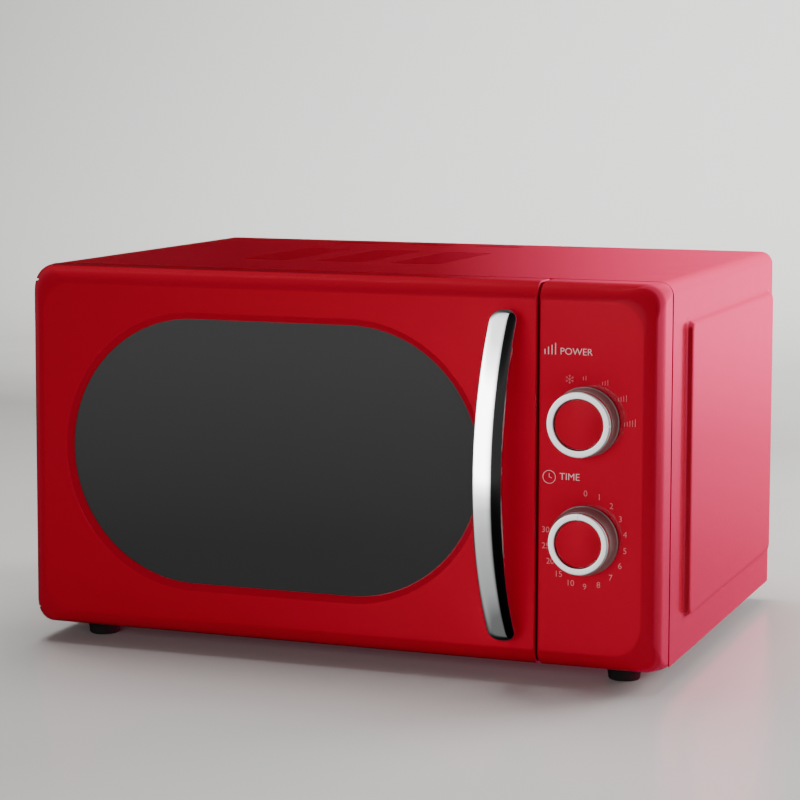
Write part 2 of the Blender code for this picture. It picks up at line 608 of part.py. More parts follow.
# ---------------------------------------------------------------- high-voltage parts
def build_magnetron():
    y, z = MAGNETRON_Y, MAGNETRON_Z
    yoke = boxes("magnetron_yoke", [((0.1335, y - 0.030, z - 0.036), (0.1905, y + 0.030, z + 0.036))])
    hollow = boxes("yoke_hollow", [((0.1355, y - 0.04, z - 0.034), (0.1885, y + 0.04, z + 0.034))])
    port = rod("yoke_port", (0, y, z), (1, 0, 0), 0.0098, 0.12, 0.137, 20)
    filter_box = boxes("magnetron_filter", [((0.1900, y - 0.024, z - 0.026),
                                             (0.2120, y + 0.024, z + 0.018))])
    dress(join(cut(yoke, hollow, port), filter_box), STEEL)
    profile = [(0, 0.1130), (0.0070, 0.1130), (0.0070, 0.1290), (0.0092, 0.1290), (0.0092, 0.1360),
               (0.0265, 0.1360), (0.0265, 0.1460), (0.0180, 0.1460), (0.0180, 0.1780), (0.0265, 0.1780),
               (0.0265, 0.1880), (0, 0.1880)]
    anode = turned("magnetron_anode", profile, (0, y, z), (1, 0, 0), 16)
    fins = boxes("anode_fins", [((0.1500 + k * 0.006, y - 0.028, z - 0.0335),
                                 (0.1508 + k * 0.006, y + 0.028,
                                                                            z + 0.0335)) for k in range(5)])
    dress(join(anode, fins), STEEL, True)


def build_transformer():
    x, y = CORE_X, CORE_Y
    core = boxes("transformer_core", [((x - 0.042, y - 0.0275, 0.0160), (x + 0.042, y + 0.0275, 0.0860))])
    feet = boxes("core_feet", [((x - 0.050, y - 0.0220, 0.0146), (x + 0.050, y + 0.0220, 0.0170))])
    windows = boxes("core_windows", [((x - 0.0300, y - 0.05, 0.0300), (x - 0.0170, y + 0.05, 0.0720)),
                                     ((x + 0.0170, y - 0.05, 0.0300), (x + 0.0300, y + 0.05, 0.0720))])
    dress(cut(join(core, feet), windows), CORE)
    coil = bench("transformer_windings", rounded_rectangle(x - 0.0297, x + 0.0297, y - 0.0430, y + 0.0430,
                                                           0.010),
                 0.0303, 0.0717)
    leg = boxes("winding_hole", [((x - 0.0173, y - 0.0278, 0.0), (x + 0.0173, y + 0.0278, 0.1))])
    dress(cut(coil, leg), COPPER)


def build_capacitor():
    x, y = 0.165, 0.247
    can = bench("hv_capacitor", [(x + dx, y + dy) for dx, dy in stadium(-0.010, 0.010, 0, 0.015, 10)],
                0.0170, 0.1000)
    tags = boxes("capacitor_tags", [((x + s * 0.010 - 0.003, y - 0.0005, 0.098), (x + s * 0.010 + 0.003,
                                                                               y + 0.0005, 0.110))
                                    for s in (-1, 1)])
    strap = bench("capacitor_clamp", [(x + dx, y + dy) for dx, dy in stadium(-0.010, 0.010, 0, 0.0162, 10)],
                  0.0300, 0.0420)
    foot = boxes("capacitor_foot", [((x - 0.028, y - 0.008, 0.0146), (x + 0.028, y + 0.008, 0.0175))])
    dress(join(can, tags, strap, foot), STEEL, True)
    dress(rod("hv_diode", (0.2040, 0.247, 0), (0, 0, 1), 0.0040, 0.0146, 0.0520, 16), BLACK, True)
    dress(rod("hv_fuse", (0.1300, 0.247, 0), (0, 0, 1), 0.0060, 0.0146, 0.0850, 16), WHITE, True)


# ---------------------------------------------------------------- cooling fan
def build_fan():
    shroud = boxes("fan_shroud", [((0.1130, 0.2960, 0.136), (0.2170, 0.2975, 0.2460))])
    plan = [(0.1135, 0.2965), (0.1165, 0.2965), (0.1165, 0.3060), (0.2135, 0.3060), (0.2135, 0.2965),
            (0.2165, 0.2965), (0.2165, 0.3080), (0.1135, 0.3080)]
    arms = bench("fan_arms", plan, FAN_Z - 0.006, FAN_Z + 0.006)
    stub = boxes("arm_stub", [((FAN_X - 0.005, 0.3050, FAN_Z - 0.008),
                               (FAN_X + 0.005, 0.3082, FAN_Z + 0.008))])
    hole = rod("fan_hole", (FAN_X, 0, FAN_Z), (0, 1, 0), 0.0470, 0.29, 0.30, 40)
    bearing = rod("fan_bearing", (FAN_X, 0, FAN_Z), (0, 1, 0), 0.0026, 0.30, 0.31, 16)
    dress(cut(join(shroud, arms, stub), hole, bearing), STEEL)
    motor = boxes("fan_motor", [((FAN_X - 0.026, 0.3085, FAN_Z - 0.015),
                                 (FAN_X + 0.026, 0.3160, FAN_Z + 0.015))])
    bore = rod("motor_bore", (FAN_X, 0, FAN_Z), (0, 1, 0), 0.0026, 0.30, 0.314, 16)
    dress(cut(motor, bore), CORE)
    hub = turned("fan_blade", [(0, 0.2840), (0.0110, 0.2850), (0.0130, 0.2870), (0.0130, 0.3020),
                               (0.0019, 0.3020),
                               (0.0019, 0.3130), (0, 0.3130)], (FAN_X, 0, FAN_Z), (0, 1, 0), 24,
                 (FAN_X, 0, FAN_Z))
    for k in range(5):
        join(hub, fan_vane(k))
    dress(hub, BLACK, True)


def fan_vane(index):
    """One twisted blade, thicker at the hub than the tip."""
    rings = []
    for k in range(5):
        radius = 0.0115 + k * 0.0080
        pitch = math.radians(48 - 5 * k)
        half, thick = 0.0085 + 0.0010 * k, 0.0009
        start = math.radians(72 * index + 3 * k)
        out = Vector((math.cos(start), 0, math.sin(start)))
        side = Vector((-math.sin(start), 0, math.cos(start)))
        along = side * math.cos(pitch) + Vector((0, 1, 0)) * math.sin(pitch)
        normal = out.cross(along)
        centre = Vector((FAN_X, 0.2930, FAN_Z)) + out * radius
        rings.append([centre + along * half * a + normal * thick * b
                      for a, b in ((-1, -1), (1, -1), (1, 1), (-1, 1))])
    return loft("fan_vane_%d" % index, rings)


# ---------------------------------------------------------------- turntable
def build_turntable():
    centre = (TABLE_X, TABLE_Y, 0)
    motor = turned("turntable_motor", [(0, 0.0150), (0.0245, 0.0150), (0.0245, 0.0310), (0, 0.0310)],
                   centre,
                   (0, 0, 1), 32)
    ears = boxes("motor_ears", [((TABLE_X - 0.034, TABLE_Y - 0.006, 0.0295),
                                 (TABLE_X + 0.034, TABLE_Y + 0.006,
                                                                          0.0308))])
    bore = rod("turntable_bore", centre, (0, 0, 1), 0.0034, 0.0190, 0.04, 16)
    dress(cut(join(motor, ears), bore), STEEL, True)

    stem = turned("turntable_coupler", [(0, 0.0200), (0.0029, 0.0200), (0.0029, 0.0352), (0.0100, 0.0352),
                                        (0.0100, TRAY_LOW - 0.0006), (0, TRAY_LOW - 0.0006)], centre,
                                        (0, 0, 1), 24)
    for k in range(3):
        arm = boxes("coupler_arm_%d" % k, [((0.0, -0.0035, 0.0362), (0.0190, 0.0035, TRAY_LOW - 0.0008))])
        arm.location = centre
        arm.rotation_euler = (0, 0, math.radians(120 * k))
        join(stem, arm)
    dress(stem, WHITE)

    low, radius = TRAY_LOW, TRAY_RADIUS
    profile = [(0, low), (radius - 0.014, low), (radius - 0.005, low + 0.0030),
               (radius - 0.0005, low + 0.0105),
               (radius, low + 0.0125), (radius - 0.0020, low + 0.0135), (radius - 0.0045, low + 0.0110),
               (radius - 0.0090, low + 0.0062), (radius - 0.017, low + 0.0042), (0, low + 0.0042)]
    dress(turned("glass_tray", profile, centre, (0, 0, 1), 48), CLEAR, True)

    ring = turned("roller_ring", [(0.0780, ROLLER_Z - 0.0025), (0.0840, ROLLER_Z - 0.0025),
                                  (0.0840, ROLLER_Z + 0.0025), (0.0780, ROLLER_Z + 0.0025)], centre,
                                  (0, 0, 1), 36)
    for k in range(3):
        turn = math.radians(90 + 120 * k)
        out = Vector((math.cos(turn), math.sin(turn), 0))
        base = Vector((TABLE_X, TABLE_Y, ROLLER_Z))
        join(ring, rod("roller_axle_%d" % (k + 1), base, out, 0.0018, 0.0820, 0.0975, 12))
        profile = [(0.0024, 0.0888), (0.0062, 0.0888), (ROLLER_RADIUS, 0.0898), (ROLLER_RADIUS, 0.0942),
                   (0.0062, 0.0952), (0.0024, 0.0952)]
        dress(turned("roller_%d" % (k + 1), profile, base, out, 16, base + out * ROLLER_TRACK), WHITE, True)
    dress(ring, WHITE, True)


# ---------------------------------------------------------------- dials
def build_dial(name, z):
    """A chrome ring on a skirt, a domed cap let into it, and the shaft it is pressed on."""
    profile = [(0.0034, -0.0012), (0.0216, -0.0012), (KNOB_RADIUS, -0.0020),
               (KNOB_RADIUS - 0.0002, -0.0100),
               (0.0212, -0.0150), (0.0204, -KNOB_DEPTH + 0.0006), (0.0190, -KNOB_DEPTH),
               (0.0172, -KNOB_DEPTH),
               (0.0163, -KNOB_DEPTH + 0.0012), (0.0163, -0.0110), (0.0034, -0.0110)]
    centre = (KNOB_X, 0, z)
    dress(turned(name + "_knob", profile, centre, (0, 1, 0), 32), CHROME, True)
    profile = [(0, -0.0114), (0.0160, -0.0114), (0.0160, -0.0160), (0.0152, -0.0167), (0.0100, -0.0172),
               (0.0050, -0.0174), (0, -0.0175)]
    dress(turned(name + "_cap", profile, centre, (0, 1, 0), 32), RED, True)
    profile = [(0, -0.0107), (0.0030, -0.0107), (0.0030, 0.0110), (0, 0.0110)]
    dress(turned(name + "_shaft", profile, centre, (0, 1, 0), 16), STEEL, True)


def build_dial_units():
    """The stepped power switch and the clockwork timer behind the control panel, and the timer's bell."""
    for name, z, half_x, half_z, back in (("power_switch", POWER_Z, 0.0200, 0.0200, 0.0280),
                                          ("timer_unit", TIMER_Z, 0.0230, 0.0240, 0.0430)):
        body = boxes(name, [((KNOB_X - half_x, SKIN + GAP + 0.0012, z - half_z),
                             (KNOB_X + half_x, back, z + half_z))])
        bore = rod(name + "_bore", (KNOB_X, 0, z), (0, 1, 0), 0.0034, 0.0, 0.0130, 16)
        dress(cut(body, bore), BLACK if name == "power_switch" else WHITE)
    profile = [(0, 0.0434), (0.0030, 0.0434), (0.0030, 0.0470), (0.0180, 0.0490), (0.0180, 0.0510),
               (0.0150, 0.0560), (0.0090, 0.0590), (0, 0.0600)]
    dress(turned("timer_bell", profile, (KNOB_X, 0, TIMER_Z), (0, 1, 0), 24), BRASS, True)


# ---------------------------------------------------------------- small electrics
def build_small_electrics():
    profile = [(0, 0.1700), (0.0060, 0.1716), (0.0105, 0.1760), (0.0120, 0.1820), (0.0105, 0.1880),
               (0.0085, 0.1930), (0.0085, 0.2060), (0, 0.2060)]
    dress(turned("oven_lamp", profile, (0.1225, 0.0900, 0), (0, 0, 1), 20), CLEAR, True)
    holder = boxes("lamp_holder", [((0.1086, 0.0760, 0.2065), (0.1350, 0.1040, 0.2200))])
    tab = boxes("lamp_tab", [((0.1083, 0.0800, 0.2100), (0.1093, 0.1000, 0.2280))])
    dress(join(holder, tab), WHITE)
    low = CAVITY_HIGH + SHEET + GAP
    cutout = turned("thermal_cutout", [(0, low), (0.0080, low), (0.0080, low + 0.0070),
                                       (0.0065, low + 0.0080),
                                       (0, low + 0.0080)], (-0.050, 0.270, 0), (0, 0, 1), 20)
    ears = boxes("cutout_ears", [((-0.066, 0.2650, low), (-0.034, 0.2750, low + 0.0008))])
    dress(join(cutout, ears), BLACK, True)
    board = boxes("filter_board", [((0.1230, 0.2300, 0.2200), (0.1246, 0.2850, 0.2500))])
    parts = boxes("filter_parts", [((0.1240, 0.2340, 0.2240), (0.1400, 0.2520, 0.2440)),
                                   ((0.1240, 0.2580, 0.2250), (0.1360, 0.2680, 0.2450)),
                                   ((0.1240, 0.2720, 0.2260), (0.1330, 0.2800, 0.2400))])
    dress(join(board, parts), BOARD)


build_door_frame()
build_control_panel()
build_door_glass()
build_door_screen()
build_inner_window()
build_choke_cover()
build_handle()
build_handle_screws()
build_hinge("hinge_low", LOW_LEAF, LOW_LEAF, 0.0350, 0.0160, 0.0310)
build_hinge("hinge_high", HIGH_LEAF, 0.2370, HIGH_LEAF + LEAF, 0.2370, 0.2518)
build_latch_hooks()
build_latch_board()
build_switches()
build_outer_case()
build_base_plate()
build_rear_panel()
build_cord_gland()
build_feet()
build_cavity()
build_waveguide()
build_waveguide_cover()
build_magnetron()
build_transformer()
build_capacitor()
build_fan()
build_turntable()
build_dial("power", POWER_Z)
build_dial("timer", TIMER_Z)
build_dial_units()
build_small_electrics()
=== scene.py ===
"""Looks of a countertop microwave oven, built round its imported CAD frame.

Units are metres.  x is zero at the middle of the body, z is the height above the floor, and a depth
is measured behind the flat front of the door, so a point's y is FRONT + depth.
"""
import json
import math

import bmesh
import bpy
import numpy as np
from mathutils import Matrix, Vector

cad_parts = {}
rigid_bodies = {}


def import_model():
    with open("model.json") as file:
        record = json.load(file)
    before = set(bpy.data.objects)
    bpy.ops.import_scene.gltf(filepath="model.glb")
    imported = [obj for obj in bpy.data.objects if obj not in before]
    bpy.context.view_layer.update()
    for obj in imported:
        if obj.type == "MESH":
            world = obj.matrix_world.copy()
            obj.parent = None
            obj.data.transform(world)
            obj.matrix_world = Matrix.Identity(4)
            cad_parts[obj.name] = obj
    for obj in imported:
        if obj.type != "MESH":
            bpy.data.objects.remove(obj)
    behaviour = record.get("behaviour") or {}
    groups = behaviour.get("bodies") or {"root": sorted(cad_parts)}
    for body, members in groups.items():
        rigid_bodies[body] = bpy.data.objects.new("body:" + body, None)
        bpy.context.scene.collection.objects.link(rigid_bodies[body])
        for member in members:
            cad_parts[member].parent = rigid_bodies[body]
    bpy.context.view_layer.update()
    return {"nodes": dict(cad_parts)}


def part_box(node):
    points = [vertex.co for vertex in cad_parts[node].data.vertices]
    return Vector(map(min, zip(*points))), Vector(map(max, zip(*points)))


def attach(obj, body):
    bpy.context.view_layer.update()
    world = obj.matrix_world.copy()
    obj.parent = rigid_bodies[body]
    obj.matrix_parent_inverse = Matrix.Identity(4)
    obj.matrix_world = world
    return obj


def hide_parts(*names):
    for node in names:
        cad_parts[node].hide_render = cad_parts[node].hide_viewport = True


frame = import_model()

# ---------------------------------------------------------------- sizes read from the frame
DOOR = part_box("door_frame")
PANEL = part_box("control_panel")
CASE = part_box("outer_case")
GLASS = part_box("door_glass")
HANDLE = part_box("handle")

FRONT = DOOR[0].y
LEFT, RIGHT = DOOR[0].x, PANEL[1].x
BOTTOM, TOP = DOOR[0].z, DOOR[1].z
DOOR_RIGHT, PANEL_LEFT = DOOR[1].x - 0.0003, PANEL[0].x - 0.0008
FASCIA_BACK = DOOR[1].y - FRONT
CASE_FRONT, CASE_BACK = CASE[0].y - FRONT, CASE[1].y - FRONT
PAD_X = CASE[1].x
KNOB_X = (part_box("power_knob")[0].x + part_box("power_knob")[1].x) / 2
POWER_Z = (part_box("power_knob")[0].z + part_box("power_knob")[1].z) / 2
TIMER_Z = (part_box("timer_knob")[0].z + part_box("timer_knob")[1].z) / 2
KNOB_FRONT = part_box("power_knob")[0].y - FRONT

EDGE = 0.012             # rounding of the fascia's front edge
FACE_CORNER = 0.020      # corners of the flat front
TOP_CORNER, LOW_CORNER = 0.008, 0.0025   # corners of the fascia where it meets the case
SKIN, WALL = 0.004, 0.0025
WELD = 0.000005          # vertices closer than this are one
CREASE = 30              # degrees: kept nodes shade flat across a sharper edge


def at(x, depth, z):
    return Vector((x, FRONT + depth, z))


# ---------------------------------------------------------------- camera
def add_camera():
    """The viewing direction is 20.5 degrees round to the right and 5.6 degrees down."""
    right = Vector((0.936471, 0.350736, 0.002507))
    up = Vector((-0.036601, 0.090614, 0.995213))
    data = bpy.data.cameras.new("camera")
    data.lens = 111.69
    data.sensor_width = 36
    data.shift_y = -0.1
    data.clip_start, data.clip_end = 0.05, 50
    camera = bpy.data.objects.new("camera", data)
    bpy.context.scene.collection.objects.link(camera)
    turn = Matrix((right, up, right.cross(up))).transposed().to_4x4()
    camera.matrix_world = Matrix.Translation(at(0.601280, -1.477375, 0.385571)) @ turn
    bpy.context.scene.camera = camera


add_camera()


# ---------------------------------------------------------------- materials
def new_material(name, colour, roughness, metallic=0.0, **sockets):
    made = bpy.data.materials.new(name)
    made.use_nodes = True
    shader = made.node_tree.nodes["Principled BSDF"]
    shader.inputs["Base Color"].default_value = (*colour, 1)
    shader.inputs["Roughness"].default_value = roughness
    shader.inputs["Metallic"].default_value = metallic
    for socket, value in sockets.items():
        shader.inputs[socket.replace("_", " ")].default_value = value
    return made


def add_noise(made, scale, detail=3.0, stretch=(1, 1, 1), kind="ShaderNodeTexNoise"):
    """A noise in object space; returns its 0 to 1 value socket."""
    tree = made.node_tree
    place = tree.nodes.new("ShaderNodeTexCoord")
    mapping = tree.nodes.new("ShaderNodeMapping")
    mapping.inputs["Scale"].default_value = stretch
    tree.links.new(place.outputs["Object"], mapping.inputs["Vector"])
    noise = tree.nodes.new(kind)
    noise.inputs["Scale"].default_value = scale
    if "Detail" in noise.inputs:
        noise.inputs["Detail"].default_value = detail
    tree.links.new(mapping.outputs["Vector"], noise.inputs["Vector"])
    return noise.outputs["Fac"] if "Fac" in noise.outputs else noise.outputs["Distance"]


def vary_colour(made, value, low, high):
    tree = made.node_tree
    mix = tree.nodes.new("ShaderNodeMix")
    mix.data_type = "RGBA"
    mix.inputs["A"].default_value = (*low, 1)
    mix.inputs["B"].default_value = (*high, 1)
    tree.links.new(value, mix.inputs["Factor"])
    tree.links.new(mix.outputs["Result"], tree.nodes["Principled BSDF"].inputs["Base Color"])


def vary_roughness(made, value, low, high):
    tree = made.node_tree
    span = tree.nodes.new("ShaderNodeMapRange")
    span.inputs["To Min"].default_value = low
    span.inputs["To Max"].default_value = high
    tree.links.new(value, span.inputs["Value"])
    tree.links.new(span.outputs["Result"], tree.nodes["Principled BSDF"].inputs["Roughness"])


def add_bump(made, value, strength, distance):
    tree = made.node_tree
    bump = tree.nodes.new("ShaderNodeBump")
    bump.inputs["Strength"].default_value = strength
    bump.inputs["Distance"].default_value = distance
    tree.links.new(value, bump.inputs["Height"])
    tree.links.new(bump.outputs["Normal"], tree.nodes["Principled BSDF"].inputs["Normal"])


def sharpen(made, value, low, high):
    """Stretches a noise value between two levels to 0 and 1."""
    span = made.node_tree.nodes.new("ShaderNodeMapRange")
    span.inputs["From Min"].default_value = low
    span.inputs["From Max"].default_value = high
    made.node_tree.links.new(value, span.inputs["Value"])
    return span.outputs["Result"]


def red_plastic():
    made = new_material("red_gloss_moulding", (0.43, 0.0055, 0.0205), 0.11, Coat_Weight=0.5,
                        Coat_Roughness=0.04)
    vary_colour(made, add_noise(made, 6, 2), (0.41, 0.0050, 0.0190), (0.45, 0.0060, 0.0220))
    vary_roughness(made, add_noise(made, 40, 4), 0.09, 0.14)
    add_bump(made, add_noise(made, 900, 2), 0.05, 0.00001)
    return made


def red_enamel():
    made = new_material("red_enamelled_steel", (0.43, 0.0055, 0.0205), 0.24, Coat_Weight=0.5,
                        Coat_Roughness=0.10)
    vary_colour(made, add_noise(made, 5, 2), (0.41, 0.0050, 0.0190), (0.45, 0.0060, 0.0220))
    vary_roughness(made, add_noise(made, 60, 4), 0.17, 0.25)
    add_bump(made, add_noise(made, 700, 2), 0.06, 0.00001)
    return made


def chrome():
    made = new_material("mirror_chrome", (0.86, 0.87, 0.88), 0.05, 1.0)
    vary_roughness(made, add_noise(made, 120, 4), 0.035, 0.075)
    add_bump(made, add_noise(made, 500, 2), 0.05, 0.00001)
    return made


def satin_chrome():
    made = new_material("satin_chrome", (0.83, 0.84, 0.85), 0.16, 1.0)
    vary_roughness(made, add_noise(made, 700, 3), 0.12, 0.20)
    add_bump(made, add_noise(made, 2500, 2), 0.10, 0.00001)
    return made


def dial_metal(name, colour, roughness, metallic=1.0):
    made = new_material(name, colour, roughness, metallic)
    vary_roughness(made, add_noise(made, 260, 3), roughness - 0.03, roughness + 0.05)
    add_bump(made, add_noise(made, 1500, 2), 0.08, 0.00001)
    return made


def smoked_glass():
    made = new_material("smoked_door_glass", (0.030, 0.030, 0.030), 0.05)
    vary_roughness(made, add_noise(made, 25, 3), 0.04, 0.08)
    vary_colour(made, add_noise(made, 3, 2), (0.027, 0.027, 0.027), (0.033, 0.033, 0.033))
    return made


def clear_glass(name="clear_glass", tint=(0.90, 0.96, 0.94)):
    made = new_material(name, tint, 0.03, Transmission_Weight=0.95, IOR=1.5)
    vary_roughness(made, add_noise(made, 30, 3), 0.02, 0.05)
    return made


def zinc():
    made = new_material("zinc_plated_steel", (0.56, 0.57, 0.58), 0.38, 1.0)
    spangle = add_noise(made, 90, 1, kind="ShaderNodeTexVoronoi")
    vary_colour(made, spangle, (0.50, 0.51, 0.53), (0.66, 0.67, 0.68))
    vary_roughness(made, add_noise(made, 45, 4), 0.28, 0.48)
    add_bump(made, add_noise(made, 1200, 2), 0.12, 0.00002)
    return made


def cavity_enamel():
    made = new_material("grey_cavity_enamel", (0.50, 0.50, 0.485), 0.34, Coat_Weight=0.2)
    fleck = sharpen(made, add_noise(made, 1500, 2), 0.60, 0.68)
    vary_colour(made, fleck, (0.52, 0.52, 0.50), (0.30, 0.30, 0.29))
    vary_roughness(made, add_noise(made, 50, 4), 0.28, 0.42)
    add_bump(made, add_noise(made, 900, 3), 0.15, 0.00003)
    return made


def moulded(name, colour, roughness=0.45, grain=0.25):
    made = new_material(name, colour, roughness)
    dark = tuple(c * 0.86 for c in colour)
    vary_colour(made, add_noise(made, 12, 3), dark, colour)
    vary_roughness(made, add_noise(made, 80, 4), roughness - 0.06, roughness + 0.08)
    add_bump(made, add_noise(made, 2600, 3), grain, 0.00004)
    return made


def rubber():
    made = new_material("foot_rubber", (0.014, 0.014, 0.014), 0.75)
    vary_colour(made, add_noise(made, 60, 4), (0.010, 0.010, 0.010), (0.026, 0.025, 0.024))
    add_bump(made, add_noise(made, 1800, 4), 0.4, 0.00006)
    return made


def mica():
    made = new_material("mica_sheet", (0.60, 0.55, 0.46), 0.5)
    flake = add_noise(made, 260, 1, kind="ShaderNodeTexVoronoi")
    vary_colour(made, flake, (0.66, 0.61, 0.52), (0.46, 0.41, 0.33))
    add_bump(made, flake, 0.3, 0.00005)
    return made


def layered(name, dark, light, scale, stretch, metallic=1.0):
    """Thin layers or windings: bands across one direction."""
    made = new_material(name, light, 0.45, metallic)
    band = add_noise(made, scale, 0, stretch)
    vary_colour(made, sharpen(made, band, 0.42, 0.58), dark, light)
    add_bump(made, band, 0.6, 0.0002)
    return made


def print_ink(name, colour, thin):
    """Print with thinner ink here and there."""
    made = new_material(name, colour, 0.4)
    vary_colour(made, add_noise(made, 900, 2), colour, thin)
    return made


RED = red_plastic()
ENAMEL_RED = red_enamel()
CHROME = chrome()
SATIN = satin_chrome()
DIAL_RING = dial_metal("dial_ring_chrome", (0.84, 0.84, 0.84), 0.10)
# The dial skirt is chrome; its dark, pink-tinted base colour is a painted reflection of the red fascia and
# the dark surroundings.
DIAL_SKIRT_PAINTED_REFLECTION = dial_metal("dial_skirt_satin", (0.33, 0.25, 0.25), 0.36, 0.6)
SMOKED = smoked_glass()
CLEAR = clear_glass()
ZINC = zinc()
CAVITY_GREY = cavity_enamel()
BLACK = moulded("black_moulding", (0.018, 0.018, 0.019))
WHITE = moulded("off_white_nylon", (0.74, 0.74, 0.70), 0.42, 0.15)
FUSE = moulded("fuse_holder_nylon", (0.66, 0.64, 0.58), 0.5, 0.15)
RUBBER = rubber()
MICA = mica()
COPPER = layered("enamelled_copper", (0.30, 0.10, 0.03), (0.62, 0.26, 0.09), 900, (0.05, 0.05, 1))
LAMINATE = layered("core_laminations", (0.07, 0.07, 0.075), (0.22, 0.22, 0.23), 900, (0.02, 1, 0.02))
BRASS = new_material("bell_metal", (0.72, 0.53, 0.24), 0.25, 1.0)
vary_roughness(BRASS, add_noise(BRASS, 80, 4), 0.18, 0.36)
BOARD = moulded("circuit_board", (0.05, 0.17, 0.07), 0.4, 0.1)
INK = print_ink("panel_print", (1.0, 0.70, 0.72), (0.94, 0.56, 0.59))
FAINT_INK = print_ink("dial_print", (0.86, 0.24, 0.28), (0.76, 0.17, 0.20))


# ---------------------------------------------------------------- mesh helpers
def add_piece(name, mesh, finish_material, angle=30):
    made = bpy.data.objects.new(name, mesh)
    bpy.context.scene.collection.objects.link(made)
    mesh.materials.clear()
    mesh.materials.append(finish_material)
    if angle:
        mesh.shade_smooth()
        mesh.set_sharp_from_angle(angle=math.radians(angle))
    return made


def to_mesh(work, name):
    bmesh.ops.recalc_face_normals(work, faces=work.faces)
    mesh = bpy.data.meshes.new(name)
    work.to_mesh(mesh)
    work.free()
    return mesh


def loft_mesh(name, rings, closed=False):
    """Skin equal rings of points in order, with flat ends, or joined end to start if closed."""
    work = bmesh.new()
    rows = [[work.verts.new(point) for point in ring] for ring in rings]
    pairs = list(zip(rows, rows[1:]))
    if closed:
        pairs.append((rows[-1], rows[0]))
    else:
        work.faces.new(rows[0])
        work.faces.new(rows[-1])
    for low, high in pairs:
        for k in range(len(low)):
            j = (k + 1) % len(low)
            work.faces.new((low[k], low[j], high[j], high[k]))
    return to_mesh(work, name)


def turned_mesh(name, profile, centre, axis, steps=96, closed=False):
    """Turn (radius, distance) pairs round an axis; a closed profile makes a ring."""
    along = Vector(axis).normalized()
    side = Vector((0, 0, 1)) if abs(along.z) < 0.9 else Vector((1, 0, 0))
    first = side.cross(along).normalized()
    second = along.cross(first)
    work = bmesh.new()
    rows = []
    for radius, distance in profile:
        base = Vector(centre) + along * distance
        count = 1 if radius == 0 else steps
        rows.append([work.verts.new(base + (first * math.cos(2 * math.pi * k / steps)
                                            + second * math.sin(2 * math.pi * k / steps)) * radius)
                     for k in range(count)])
    pairs = list(zip(rows, rows[1:]))
    if closed:
        pairs.append((rows[-1], rows[0]))
    for low, high in pairs:
        for k in range(steps):
            j = (k + 1) % steps
            if len(low) == 1:
                work.faces.new((low[0], high[j], high[k]))
            elif len(high) == 1:
                work.faces.new((low[k], low[j], high[0]))
            else:
                work.faces.new((low[k], low[j], high[j], high[k]))
    return to_mesh(work, name)


def boxes_mesh(name, corners):
    work = bmesh.new()
    for low, high in corners:
        cube = bmesh.ops.create_cube(work, size=1)
        size, middle = Vector(high) - Vector(low), (Vector(high) + Vector(low)) / 2
        bmesh.ops.transform(work, verts=cube["verts"],
                            matrix=Matrix.Translation(middle) @ Matrix.Diagonal((*size, 1)))
    return to_mesh(work, name)


def apply_modifiers(obj):
    """Keep the evaluated mesh and drop the modifiers and the cutters they used."""
    tools = [m.object for m in obj.modifiers if m.type == "BOOLEAN"]
    graph = bpy.context.evaluated_depsgraph_get()
    baked = bpy.data.meshes.new_from_object(obj.evaluated_get(graph), depsgraph=graph)
    obj.modifiers.clear()
    obj.data = baked
    for used in tools:
        bpy.data.objects.remove(used, do_unlink=True)


def boolean(obj, operation, meshes):
    for mesh in meshes:
        cutter = bpy.data.objects.new("cutter", mesh)
        bpy.context.scene.collection.objects.link(cutter)
        step = obj.modifiers.new("cut", "BOOLEAN")
        step.operation = operation
        step.solver = "EXACT"
        step.object = cutter
    apply_modifiers(obj)


def soften(obj, width, segments=2, angle=35, weld=WELD):
    """Round the sharp edges a little and shade the rest smooth."""
    if weld:
        obj.modifiers.new("weld", "WELD").merge_threshold = weld
    bevel = obj.modifiers.new("bevel", "BEVEL")
    bevel.width = width
    bevel.segments = segments
    bevel.limit_method = "ANGLE"
    bevel.angle_limit = math.radians(angle)
    bevel.harden_normals = False
    normals = obj.modifiers.new("normals", "WEIGHTED_NORMAL")
    normals.keep_sharp = True
    return obj


def weigh_normals(obj):
    normals = obj.modifiers.new("normals", "WEIGHTED_NORMAL")
    normals.keep_sharp = True
    return obj


def finish_piece(obj, body, slot, *nodes):
    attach(obj, body)
    if nodes:
        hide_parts(*nodes)
    return obj


def outline(left, right, low, high, radii, steps=14):
    """Points (x, z) round a rectangle; radii go round from the top right corner to the lower right."""
    points = []
    corners = ((right, high, 0, radii[0]), (left, high, 90, radii[1]),
               (left, low, 180, radii[2]), (right, low, 270, radii[3]))
    for x, z, start, radius in corners:
        cx = x - radius if x == right else x + radius
        cz = z - radius if z == high else z + radius
        for k in range(steps + 1):
            turn = math.radians(start + 90 * k / steps)
            points.append((cx + radius * math.cos(turn), cz + radius * math.sin(turn)))
    return points


def flat_ring(points, depth):
    return [at(x, depth, z) for x, z in points]


def stadium(left, right, height, radius, steps=48):
    points = []
    for x, start in ((right, -90), (left, 90)):
        for k in range(steps + 1):
            turn = math.radians(start + 180 * k / steps)
            points.append((x + radius * math.cos(turn), height + radius * math.sin(turn)))
    return points


# ---------------------------------------------------------------- fascia
WINDOW_RADIUS = (GLASS[1].z - GLASS[0].z) / 2 - 0.005
WINDOW_Z = (GLASS[1].z + GLASS[0].z) / 2
WINDOW_LEFT = GLASS[0].x + 0.005 + WINDOW_RADIUS
WINDOW_RIGHT = GLASS[1].x - 0.005 - WINDOW_RADIUS
GLASS_DEPTH = GLASS[0].y - FRONT


def window(grow):
    return stadium(WINDOW_LEFT, WINDOW_RIGHT, WINDOW_Z, WINDOW_RADIUS + grow)


def edge_inset(depth, radius):
    if depth >= radius:
        return 0.0
    return radius - math.sqrt(radius ** 2 - (radius - depth) ** 2)


